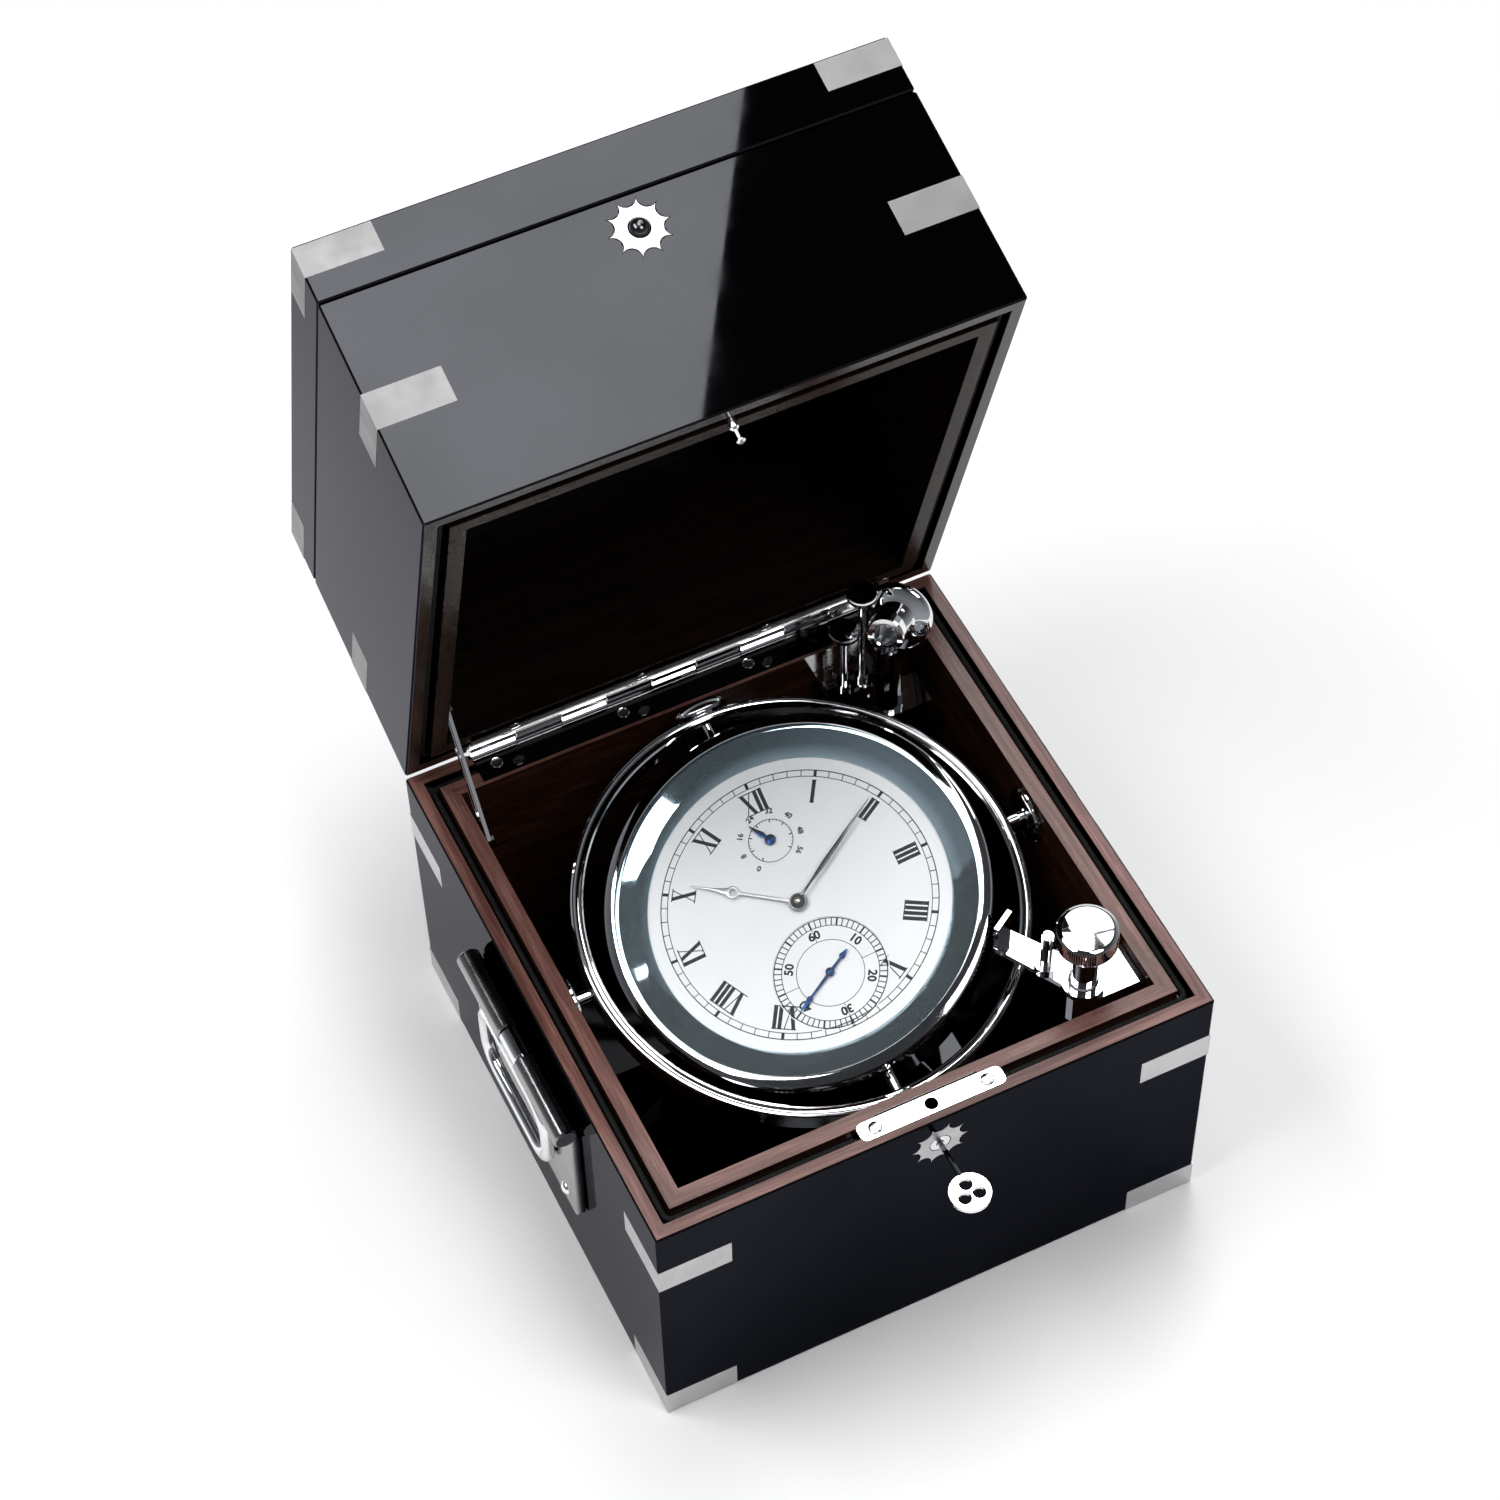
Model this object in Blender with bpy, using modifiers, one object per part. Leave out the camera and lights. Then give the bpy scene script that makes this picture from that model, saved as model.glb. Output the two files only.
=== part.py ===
"""Marine chronometer: a gimballed instrument in a three tier lacquered box.

Metres, +Z up. The origin is the middle of the underside of the box, the front faces -Y.
The main lid (middle tier and top lid) stands open, the gimbals hang a little tilted.
"""

import math

import bmesh
import bpy
from mathutils import Matrix, Vector

MM = 0.001
DEG = math.pi / 180

# Clearances
FIT = 0.3 * MM              # pieces that touch or run in each other
TIER_GAP = 0.4 * MM         # between the tiers of the box
OVERCUT = 3 * MM            # how far a cutter stands clear of what it cuts
BURY = 0.4 * MM             # how far joined shapes run into each other

# Box: its inside is as wide and deep as the gimbal ring and its pivots need
BASE_HEIGHT = 109 * MM
MIDDLE_HEIGHT = 74.4 * MM
TOP_HEIGHT = 19.5 * MM
WALL = 8.2 * MM
FLOOR = 8 * MM
TOP_PANEL = 6 * MM
LINER = 5.2 * MM            # rosewood lining frame
RIM_STRIP = 4.5 * MM        # outer strip of the rim, outside the groove
GROOVE_DEPTH = 4 * MM
EDGE_BEVEL = 0.6 * MM
GLASS_PANE = 3 * MM
GLASS_BEAD = 5 * MM
DEPTH_EXTRA = 0 * MM        # how much longer than wide the room for the ring is, front and back
LID_OPEN = 73.8 * DEG

# Piano hinges
BARREL = 2.4 * MM
HINGE_PIN = 1.1 * MM
HINGE_LENGTH = 145 * MM
HINGE_OUT = 0.6 * MM        # hinge axis behind the back of the box
HINGE_RISE = 1.9 * MM       # main hinge axis above the base rim
LEAF = 1.05 * MM
LEAF_WIDTH = 10.5 * MM
KNUCKLES = 9

# Lid stay: pivot and pin lie on one circle round the hinge
STAY_CIRCLE = 32 * MM
STAY_BASE_ANGLE = 190 * DEG
STAY_LID_ANGLE = 174.4 * DEG
STAY_THICK = 1.2 * MM
STAY_HALF = 3.2 * MM
STAY_PIN = 1.5 * MM
STAY_HEAD = 2.6 * MM

# Lock
PLATE_LENGTH = 49.2 * MM
PLATE_WIDTH = 6.6 * MM
PLATE_THICK = 1.4 * MM
PLATE_INSET = 6.3 * MM      # middle of the lock plate behind the front face
LOCK_LENGTH = 34 * MM
LOCK_DROP = 25 * MM
LOCK_WALL = 0.9 * MM
KEY_DROP = 13.8 * MM        # keyhole below the rim
PLUG = 3.4 * MM
KEY_SHAFT = 1.1 * MM
KEY_REACH = 19.5 * MM       # middle of the bow in front of the box
KEY_DEPTH = 6.5 * MM        # how far the key goes in
BOW = 6.6 * MM
BOW_THICK = 1.6 * MM
BOLT_TRAVEL = 4 * MM
CATCH_PIN = 1.5 * MM
CATCH_LENGTH = 8 * MM
CATCH_HOLE = 2.2 * MM
CATCH_NECK = 0.75 * MM
NECK_LOW = 1.6 * MM         # neck of the catch pin, above its tip
NECK_HIGH = 4.2 * MM

# Star escutcheons and push button
STAR_TIP = 10 * MM
STAR_VALLEY = 7.1 * MM
STAR_POINTS = 10
STAR_THICK = 1 * MM
BUTTON = 3.2 * MM
BUTTON_DROP = 11.4 * MM     # button below the top of the middle tier
BUTTON_STAND = 2.6 * MM
BUTTON_STEM = 5.2 * MM

# Carrying handles
HANDLE_LENGTH = 76 * MM
HANDLE_HEIGHT = 48 * MM
HANDLE_FOOT = 36 * MM       # underside of the plate above the table
HANDLE_THICK = 3 * MM
ROLL = 4 * MM
ROLL_PIN = 1.4 * MM
ROLL_GAP = 12 * MM
BAIL_WIRE = 2.2 * MM
BAIL_HALF = 24 * MM
BAIL_DROP = 35 * MM
BAIL_CORNER = 9 * MM

# Gimbals
PIVOT_DROP = 11.1 * MM      # gimbal axis below the rim
RING_TILT = 10.7 * DEG
BOWL_TILT = 16.1 * DEG
FLANGE = 9.5 * MM
FLANGE_THICK = 2 * MM
PIVOT_PIN = 1.7 * MM
RING_SPACE = 5.8 * MM       # wall flange to ring
RING_WALL = 4 * MM
RING_HEIGHT = 9 * MM
BOWL_SPACE = 7.1 * MM       # ring to bezel

# Bowl, bezel and dial, heights above the pivot axis
MOVEMENT_RADIUS = 52.7 * MM  # pillar plate: the bowl, bezel, ring and box follow it outwards
BEZEL_BAND = 4 * MM
BEZEL_SIDE = 2.6 * MM
BEZEL_OUTER_TOP = 9.6 * MM
BEZEL_INNER_TOP = 10.8 * MM
BOWL_RIM = 4.4 * MM
RIM_PLATE = 1.8 * MM
BOWL_INSET = 6.1 * MM       # side of the bowl inside the bezel
BOWL_WALL = 3 * MM
BOWL_BOTTOM = 2.1 * MM      # thickness of the bowl's flat bottom
CRYSTAL_THICK = 1.4 * MM
REFLECTOR_WIDTH = 9.3 * MM
DIAL_TOP = 4 * MM
DIAL_THICK = 0.9 * MM
DIAL_TURN = 3.2 * DEG
SECONDS_OFFSET = 25.3 * MM
RESERVE_OFFSET = 23.4 * MM

# Hands
HAND_THICK = 0.45 * MM
HOUR_LENGTH = 35 * MM
MINUTE_LENGTH = 39.6 * MM
SECONDS_LENGTH = 16 * MM
SECONDS_TAIL = 9 * MM
RESERVE_LENGTH = 8.6 * MM
SHOWN_HOURS = 10
SHOWN_MINUTES = 9
SHOWN_SECONDS = 40
RESERVE_ANGLE = -32 * DEG

# Movement
PLATE_TOP = 1.6 * MM        # pillar plate below the pivot axis
MOVEMENT_PLATE = 2.5 * MM
PLATE_SPACE = 19.6 * MM
TOP_PLATE_CLEAR = 6 * MM    # top plate to the inside of the bowl
PILLAR = 2.5 * MM
PILLAR_IN_EDGE = 4 * MM     # pillars from the edge of the top plate
PILLAR_DIRECTION = 85 * DEG
DIAL_FOOT = 1.2 * MM
WHEEL_THICK = 1.2 * MM
ARBOR = 0.95 * MM
PIVOT = 0.5 * MM
CENTRE_TEETH = 48
THIRD_TEETH = 45
FOURTH_TEETH = 48
GREAT_TEETH = 56
ESCAPE_TEETH = 15
LEAVES = 6
CENTRE_LEAVES = 8
CENTRE_MODULE = 0.64 * MM
THIRD_MODULE = 0.625 * MM
FOURTH_MODULE = 0.465 * MM
GREAT_MODULE = 0.57 * MM
ESCAPE_WHEEL = 7 * MM
TOOTH = 1.1 * MM
BARREL_RADIUS = 13 * MM
FUSEE_RADIUS = 11.5 * MM
DRUM_HEIGHT = 11.5 * MM
BARREL_SPOT = (-17 * MM, 14 * MM)
FUSEE_DIRECTION = 40 * DEG
ESCAPE_DIRECTION = 199 * DEG
BALANCE_RADIUS = 13 * MM
BALANCE_DROP = 6 * MM       # balance below the top plate
ROLLER = 2.7 * MM
SPRING_RADIUS = 4 * MM
SPRING_WIRE = 0.25 * MM
SPRING_PITCH = 1 * MM
SPRING_TURNS = 5
SPRING_POINTS = 8           # points in one turn
SPRING_SPACE = 0.6 * MM     # spring below the balance
STAFF_END = 1 * MM          # staff below the spring
BALANCE_THICK = 2 * MM
BALANCE_RIM = 1.6 * MM
BALANCE_ARM = 1.5 * MM
COCK_THICK = 2 * MM
COCK_SPACE = 2.2 * MM       # cock to the bottom of the bowl
WINDING_SQUARE = 1.9 * MM   # end of the fusee's arbor above the bottom of the bowl
COCK_HALF = 3.5 * MM
COCK_FOOT = 6 * MM
COCK_CLEAR = 2.5 * MM       # foot of the cock outside the balance
COCK_DIRECTION = 60 * DEG
DETENT_THICK = 0.6 * MM
DETENT_FOOT = 3 * MM
DETENT_BACK = 8 * MM
DETENT_FRONT = 6 * MM
DETENT_ROOT = 4 * MM
DETENT_DIRECTION = 150 * DEG
WINDING_HOLE = 5 * MM
SHUTTER = 9 * MM
SHUTTER_THICK = 1 * MM

# Gimbal lock, front right corner
PILLAR_IN = (17.8 * MM, 12.8 * MM)   # pillar axis from the right and front lining
BRACKET_TOP = 4.8 * MM      # below the rim
BRACKET_THICK = 12 * MM
LUG = 7.2 * MM
LOCK_PILLAR = 3.2 * MM
ARM_THICK = 2 * MM
ARM_TIP = 4.2 * MM
FINGER_THICK = 1.6 * MM
FINGER_HEIGHT = 12.5 * MM
FINGER_CLEAR = 1.5 * MM     # finger outside the sphere that the bowl swings in
FINGER_DIRECTION = -42.5 * DEG
POST = 1.9 * MM
POST_HEIGHT = 18 * MM
POST_SPOT = (12 * MM, 2.5 * MM)
KNOB = 9.8 * MM
KNOB_HEIGHT = 8 * MM
KNOB_STEM = 4.4 * MM
KNOB_RISE = 20 * MM         # underside of the knob's head above the arm

# Winding key, leaning in the rear right corner with its pipe on a post
KEY_SPOT = (11.3 * MM, 10.6 * MM)     # middle of the disc from the right and rear lining
KEY_RISE = 18 * MM          # middle of the disc above the rim
KEY_TURN = 225.4 * DEG      # way the pipe points, seen from above
KEY_LEAN = 22.3 * DEG       # how far the pipe points upwards
KEY_DISC = 11.9 * MM
DISC_THICK = 4 * MM
KEY_PIPE = 6.2 * MM
PIPE_LENGTH = 14 * MM
PIPE_HOLLOW = 3.9 * MM
PIPE_DEPTH = 8 * MM
KEY_SQUARE = 4 * MM
HOLDER_TOP = 14 * MM        # below the rim
HOLDER_THICK = 11 * MM
HOLDER_LUG = 6.5 * MM
HOLDER_POST = 5.4 * MM
POST_REACH = 11.5 * MM      # post in front of the disc
SADDLE_WIDTH = 13 * MM
SADDLE_THICK = 4 * MM
SADDLE_HEIGHT = 5 * MM
SHELF_DROP = 10 * MM        # screw shelf below the rim
SHELF_THICK = 2 * MM
SHELF_LENGTH = 20 * MM
SHELF_DEPTH = 11.4 * MM
THUMB_SHANK = 1.3 * MM
THUMB_HEAD = 5.2 * MM
THUMB_THICK = 3 * MM
THUMB_LOW = (29.9 * MM, 9.3 * MM, 27 * MM)    # from the right and rear lining, height above the shelf
THUMB_HIGH = (22.9 * MM, 8 * MM, 41 * MM)

# Finishes: base colour, roughness, metallic
LACQUER = ((0.012, 0.012, 0.014), 0.08, 0.0)
ROSEWOOD = ((0.23, 0.075, 0.045), 0.35, 0.0)
CHROME = ((0.86, 0.87, 0.88), 0.06, 1.0)
SATIN = ((0.72, 0.72, 0.74), 0.35, 1.0)
BRASS = ((0.78, 0.57, 0.25), 0.25, 1.0)
ENAMEL = ((0.9, 0.9, 0.91), 0.3, 0.0)
BLUED = ((0.02, 0.05, 0.2), 0.2, 1.0)
STEEL = ((0.5, 0.5, 0.52), 0.2, 1.0)
GLASS = ((0.9, 0.95, 0.95), 0.02, 0.0)

# Derived sizes, from the movement outwards
BOWL_BORE = MOVEMENT_RADIUS + FIT
BOWL_RADIUS = BOWL_BORE + BOWL_WALL
BOWL_DRUM = BOWL_BORE - BOWL_WALL   # inside of the bowl under the ledge that carries the movement
BEZEL_RADIUS = BOWL_RADIUS + BOWL_INSET
RING_INNER = BEZEL_RADIUS + BOWL_SPACE
RING_OUTER = RING_INNER + RING_WALL
ROOM_X = RING_OUTER + RING_SPACE + FLANGE_THICK + FIT   # clear half width inside the lining
ROOM_Y = ROOM_X + DEPTH_EXTRA
LINER_X = ROOM_X + LINER
LINER_Y = ROOM_Y + LINER
CAVITY_X = LINER_X + FIT
CAVITY_Y = LINER_Y + FIT
HALF_WIDTH = CAVITY_X + WALL
HALF_DEPTH = CAVITY_Y + WALL
MIDDLE_LOW = BASE_HEIGHT + TIER_GAP
MIDDLE_TOP = MIDDLE_LOW + MIDDLE_HEIGHT
TOP_LOW = MIDDLE_TOP + TIER_GAP
TOP_TOP = TOP_LOW + TOP_HEIGHT
HINGE_Y = HALF_DEPTH + HINGE_OUT
HINGE_Z = BASE_HEIGHT + HINGE_RISE
TOP_HINGE_Z = MIDDLE_TOP + TIER_GAP / 2
BEAD_LOW = MIDDLE_TOP - GLASS_BEAD - OVERCUT
PANE_TOP = BEAD_LOW - FIT
PANE_LOW = PANE_TOP - GLASS_PANE
PIVOT_Z = BASE_HEIGHT - PIVOT_DROP
GLASS_OPENING = BEZEL_RADIUS - BEZEL_BAND
BEZEL_BORE = BEZEL_RADIUS - BEZEL_SIDE
CRYSTAL_RADIUS = BEZEL_BORE - FIT
CRYSTAL_TOP = BEZEL_INNER_TOP - 2 * FIT
CRYSTAL_LOW = CRYSTAL_TOP - CRYSTAL_THICK
SWING = math.hypot(BEZEL_RADIUS, BEZEL_OUTER_TOP)
DIAL_OPENING = GLASS_OPENING - REFLECTOR_WIDTH
DIAL_RADIUS = DIAL_OPENING + 3 * FIT
TOP_PLATE_RADIUS = BOWL_DRUM - TOP_PLATE_CLEAR
PILLAR_CIRCLE = TOP_PLATE_RADIUS - PILLAR_IN_EDGE
LEDGE = -PLATE_TOP - MOVEMENT_PLATE - FIT
TRAIN_TOP = LEDGE + FIT             # underside of the pillar plate
TRAIN_LOW = TRAIN_TOP - PLATE_SPACE
BALANCE_TOP = TRAIN_LOW - MOVEMENT_PLATE - BALANCE_DROP
SPRING_TOP = BALANCE_TOP - BALANCE_THICK - SPRING_SPACE
STAFF_LOW = SPRING_TOP - SPRING_TURNS * SPRING_PITCH - SPRING_SPACE - STAFF_END
COCK_LOW = STAFF_LOW - FIT - COCK_THICK
BOWL_FLOOR = COCK_LOW - COCK_SPACE
BOWL_DEPTH = BOWL_BOTTOM - BOWL_FLOOR
LOCK_Y = -HALF_DEPTH + PLATE_INSET
CATCH_TIP = MIDDLE_LOW - CATCH_LENGTH
KEY_Z = BASE_HEIGHT - KEY_DROP
BUTTON_Z = MIDDLE_TOP - BUTTON_DROP
PILLAR_X = ROOM_X - PILLAR_IN[0]
PILLAR_Y = -ROOM_Y + PILLAR_IN[1]
ARM_LOW = BASE_HEIGHT - BRACKET_TOP + FIT
ARM_TOP = ARM_LOW + ARM_THICK
KEY_CENTRE = Vector((ROOM_X - KEY_SPOT[0], ROOM_Y - KEY_SPOT[1], BASE_HEIGHT + KEY_RISE))
KEY_NORMAL = Vector((math.cos(KEY_LEAN) * math.cos(KEY_TURN), math.cos(KEY_LEAN) * math.sin(KEY_TURN),
                     math.sin(KEY_LEAN)))
HOLDER_Z = BASE_HEIGHT - HOLDER_TOP
SHELF_TOP = BASE_HEIGHT - SHELF_DROP


# ---------------------------------------------------------------- scene and objects

def clear_scene():
    for obj in list(bpy.data.objects):
        bpy.data.objects.remove(obj)


def make_collection(name):
    collection = bpy.data.collections.new(name)
    bpy.context.scene.collection.children.link(collection)
    return collection


def frame(name, location=(0, 0, 0), rotation=(0, 0, 0), parent=None):
    """An empty that carries pieces; rotation is in XYZ Euler angles."""
    empty = bpy.data.objects.new(name, None)
    empty.empty_display_size = 0.01
    empty.location = location
    empty.rotation_euler = rotation
    empty.parent = parent
    PARTS.objects.link(empty)
    return empty


def piece(name, mesh, look, parent=None, location=(0, 0, 0), rotation=(0, 0, 0)):
    """A named part with its own material."""
    obj = bpy.data.objects.new(name, mesh)
    obj.parent = parent
    obj.location = location
    obj.rotation_euler = rotation
    material = bpy.data.materials.new(name)
    material.use_nodes = True
    shader = material.node_tree.nodes["Principled BSDF"]
    colour, roughness, metallic = look
    shader.inputs["Base Color"].default_value = (*colour, 1)
    shader.inputs["Roughness"].default_value = roughness
    shader.inputs["Metallic"].default_value = metallic
    mesh.materials.append(material)
    PARTS.objects.link(obj)
    return obj


def combine(target, mesh, operation, location=(0, 0, 0), rotation=(0, 0, 0)):
    """Cut a shape out of a part, or join it on. The shape shares the part's frame."""
    tool = bpy.data.objects.new(target.name + "_tool", mesh)
    tool.parent = target
    tool.location = location
    tool.rotation_euler = rotation
    tool.hide_render = True
    tool.display_type = "WIRE"
    CUTTERS.objects.link(tool)
    modifier = target.modifiers.new(operation.lower(), "BOOLEAN")
    modifier.operation = operation
    modifier.solver = "EXACT"
    modifier.object = tool


def cut(target, mesh, **place):
    combine(target, mesh, "DIFFERENCE", **place)


def join(target, mesh, **place):
    combine(target, mesh, "UNION", **place)


def bevel(obj, width):
    modifier = obj.modifiers.new("bevel", "BEVEL")
    modifier.width = width
    modifier.segments = 1
    modifier.limit_method = "ANGLE"


def spin(obj, sides):
    """Turn a profile in the XZ plane round Z."""
    modifier = obj.modifiers.new("turned", "SCREW")
    modifier.angle = 2 * math.pi
    modifier.steps = sides
    modifier.render_steps = sides
    modifier.use_merge_vertices = True
    modifier.merge_threshold = 1e-6


# ---------------------------------------------------------------- meshes

def to_mesh(bm):
    mesh = bpy.data.meshes.new("shape")
    bm.to_mesh(mesh)
    bm.free()
    return mesh


def block(low, high):
    """A box between two opposite corners."""
    low = Vector(low)
    high = Vector(high)
    bm = bmesh.new()
    bmesh.ops.create_cube(bm, size=1)
    size = [abs(high[axis] - low[axis]) for axis in range(3)]
    bmesh.ops.scale(bm, vec=size, verts=bm.verts)
    bmesh.ops.translate(bm, vec=(low + high) / 2, verts=bm.verts)
    return to_mesh(bm)


def blocks(corners):
    """Several boxes that don't touch, in one mesh."""
    bm = bmesh.new()
    for low, high in corners:
        mesh = block(low, high)
        bm.from_mesh(mesh)
        bpy.data.meshes.remove(mesh)
    return to_mesh(bm)


def rod(start, end, radius, sides=16, end_radius=None):
    """A cylinder, or a cone with another end radius, between two points."""
    start = Vector(start)
    end = Vector(end)
    bm = bmesh.new()
    far = radius if end_radius is None else end_radius
    length = (end - start).length
    bmesh.ops.create_cone(bm, cap_ends=True, segments=sides, radius1=radius, radius2=far, depth=length)
    turn = Vector((0, 0, 1)).rotation_difference(end - start).to_matrix().to_4x4()
    bm.transform(Matrix.Translation((start + end) / 2) @ turn)
    return to_mesh(bm)


def profile(points, closed):
    """Edges through (radius, height) points, for spin. The outer side runs downwards."""
    bm = bmesh.new()
    verts = [bm.verts.new((radius, 0, height)) for radius, height in points]
    for first, second in zip(verts, verts[1:]):
        bm.edges.new((first, second))
    if closed:
        bm.edges.new((verts[-1], verts[0]))
    return to_mesh(bm)


def turned(name, points, look, sides=32, closed=False, **place):
    obj = piece(name, profile(points, closed), look, **place)
    spin(obj, sides)
    return obj


def circle(radius, sides, centre=(0, 0)):
    step = 2 * math.pi / sides
    return [(centre[0] + radius * math.cos(i * step), centre[1] + radius * math.sin(i * step))
            for i in range(sides)]


def arc(centre, radius, start, end, steps):
    """Points along an arc, angles in radians, both ends included."""
    return [(centre[0] + radius * math.cos(start + (end - start) * i / steps),
             centre[1] + radius * math.sin(start + (end - start) * i / steps))
            for i in range(steps + 1)]


def rounded_rectangle(centre, width, height, radius, steps=3):
    points = []
    for quarter in range(4):
        side_x = 1 if quarter in (0, 3) else -1
        side_y = 1 if quarter in (0, 1) else -1
        corner = (centre[0] + side_x * (width / 2 - radius), centre[1] + side_y * (height / 2 - radius))
        start = quarter * math.pi / 2
        points += arc(corner, radius, start, start + math.pi / 2, steps)
    return points


def star(grow=0):
    """Star plate: a disc with a round bite between each two tips, tips level with its middle."""
    half = math.pi / STAR_POINTS
    tip = STAR_TIP + grow
    valley = STAR_VALLEY + grow
    bite_centre = (tip ** 2 - valley ** 2) / (2 * (tip * math.cos(half) - valley))
    bite = bite_centre - valley
    spread = math.atan2(tip * math.sin(half), bite_centre - tip * math.cos(half))
    steps = 4
    points = []
    for i in range(STAR_POINTS):
        middle = (2 * i + 1) * half
        for step in range(steps):
            turn = spread * (2 * step / steps - 1)
            along = bite_centre - bite * math.cos(turn)
            across = bite * math.sin(turn)
            points.append((along * math.cos(middle) - across * math.sin(middle),
                           along * math.sin(middle) + across * math.cos(middle)))
    return points


def toothed(radius, teeth):
    """Outline of a wheel with pointed teeth."""
    points = []
    for i in range(teeth * 2):
        reach = radius if i % 2 == 0 else radius - TOOTH
        angle = math.pi * i / teeth
        points.append((reach * math.cos(angle), reach * math.sin(angle)))
    return points


def flat(outlines, low, high):
    """A flat shape in XY with any holes, from one height to another."""
    curve = bpy.data.curves.new("outline", "CURVE")
    curve.dimensions = "2D"
    curve.fill_mode = "BOTH"
    curve.extrude = (high - low) / 2
    for outline in outlines:
        spline = curve.splines.new("POLY")
        spline.points.add(len(outline) - 1)
        for point, (x, y) in zip(spline.points, outline):
            point.co = (x, y, 0, 1)
        spline.use_cyclic_u = True
    return curve_mesh(curve, Matrix.Translation((0, 0, (low + high) / 2)))


def tube(points, radius, resolution=1, cyclic=False):
    """A round wire through points."""
    curve = bpy.data.curves.new("wire", "CURVE")
    curve.dimensions = "3D"
    curve.bevel_depth = radius
    curve.bevel_resolution = resolution
    curve.use_fill_caps = True
    spline = curve.splines.new("POLY")
    spline.points.add(len(points) - 1)
    for point, place in zip(spline.points, points):
        point.co = (*place, 1)
    spline.use_cyclic_u = cyclic
    return curve_mesh(curve, Matrix.Identity(4))


def curve_mesh(curve, matrix):
    """The curve as one closed mesh with its caps welded on."""
    holder = bpy.data.objects.new("outline", curve)
    bpy.context.scene.collection.objects.link(holder)
    evaluated = holder.evaluated_get(bpy.context.evaluated_depsgraph_get())
    mesh = bpy.data.meshes.new_from_object(evaluated)
    bpy.data.objects.remove(holder)
    bpy.data.curves.remove(curve)
    bm = bmesh.new()
    bm.from_mesh(mesh)
    bpy.data.meshes.remove(mesh)
    bmesh.ops.remove_doubles(bm, verts=bm.verts, dist=1e-6)
    bmesh.ops.recalc_face_normals(bm, faces=bm.faces)
    bm.transform(matrix)
    return to_mesh(bm)


def stood(mesh, matrix):
    mesh.transform(matrix)
    return mesh


# Turns a flat shape drawn in XY to face the front: its Y becomes Z, its depth runs along -Y.
FACING_FRONT = Matrix.Rotation(math.pi / 2, 4, "X")


# ---------------------------------------------------------------- box

def rim_cutters(obj, rim_z, into, reach_x, reach_y, depth):
    """Square recess into a rim, opening upwards (into = -1) or downwards (into = 1)."""
    cut(obj, block((-reach_x, -reach_y, rim_z + into * depth), (reach_x, reach_y, rim_z - into * OVERCUT)))


def hinge_rebate(obj, axis_z):
    """Room for the barrel of a hinge along the back edge."""
    side = BARREL + 2 * FIT
    length = HINGE_LENGTH / 2 + 4 * FIT
    cut(obj, block((-length, HINGE_Y - side, axis_z - side), (length, HINGE_Y + side, axis_z + side)))


def leaf_recess(obj, rim_z, into):
    """Shallow seat for a hinge leaf in a rim."""
    front = HINGE_Y - BARREL - LEAF_WIDTH - FIT
    length = HINGE_LENGTH / 2 + FIT
    low = rim_z + into * (LEAF + FIT)
    cut(obj, block((-length, front, low), (length, HALF_DEPTH + OVERCUT, rim_z - into * OVERCUT)))


def lock_mortise(obj):
    side = LOCK_LENGTH / 2 + FIT
    back = LOCK_Y + PLATE_WIDTH / 2
    low = BASE_HEIGHT - LOCK_DROP - FIT
    cut(obj, block((-side, LOCK_Y - PLATE_WIDTH / 2, low), (side, back + LOCK_WALL, BASE_HEIGHT + OVERCUT)))
    seat = rounded_rectangle((0, LOCK_Y), PLATE_LENGTH + 2 * FIT, PLATE_WIDTH + 2 * FIT, 2 * MM + FIT)
    cut(obj, flat([seat], BASE_HEIGHT - PLATE_THICK - FIT, BASE_HEIGHT + OVERCUT))


def star_seat(obj, height, bore):
    """Recess for a star and the bore behind it, in the front of a tier."""
    depth = STAR_THICK + FIT
    seat = flat([star(FIT)], -depth, OVERCUT)
    cut(obj, stood(seat, FACING_FRONT), location=(0, -HALF_DEPTH, height))
    cut(obj, rod((0, -HALF_DEPTH - OVERCUT, height), (0, -CAVITY_Y + OVERCUT, height), bore + FIT))


def make_base():
    base = piece("base_case",
                 block((-HALF_WIDTH, -HALF_DEPTH, 0), (HALF_WIDTH, HALF_DEPTH, BASE_HEIGHT)), LACQUER)
    bevel(base, EDGE_BEVEL)
    rim_cutters(base, BASE_HEIGHT, -1, CAVITY_X, CAVITY_Y, BASE_HEIGHT - FLOOR)
    rim_cutters(base, BASE_HEIGHT, -1, HALF_WIDTH - RIM_STRIP, HALF_DEPTH - RIM_STRIP, GROOVE_DEPTH)
    leaf_recess(base, BASE_HEIGHT, -1)
    hinge_rebate(base, HINGE_Z)
    lock_mortise(base)
    star_seat(base, KEY_Z, PLUG)
    low = FLOOR + FIT
    liner = piece("base_liner", block((-LINER_X, -LINER_Y, low), (LINER_X, LINER_Y, BASE_HEIGHT)), ROSEWOOD)
    cut(liner, block((-ROOM_X, -ROOM_Y, low - OVERCUT), (ROOM_X, ROOM_Y, BASE_HEIGHT + OVERCUT)))
    leaf_recess(liner, BASE_HEIGHT, -1)
    lock_mortise(liner)


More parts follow.
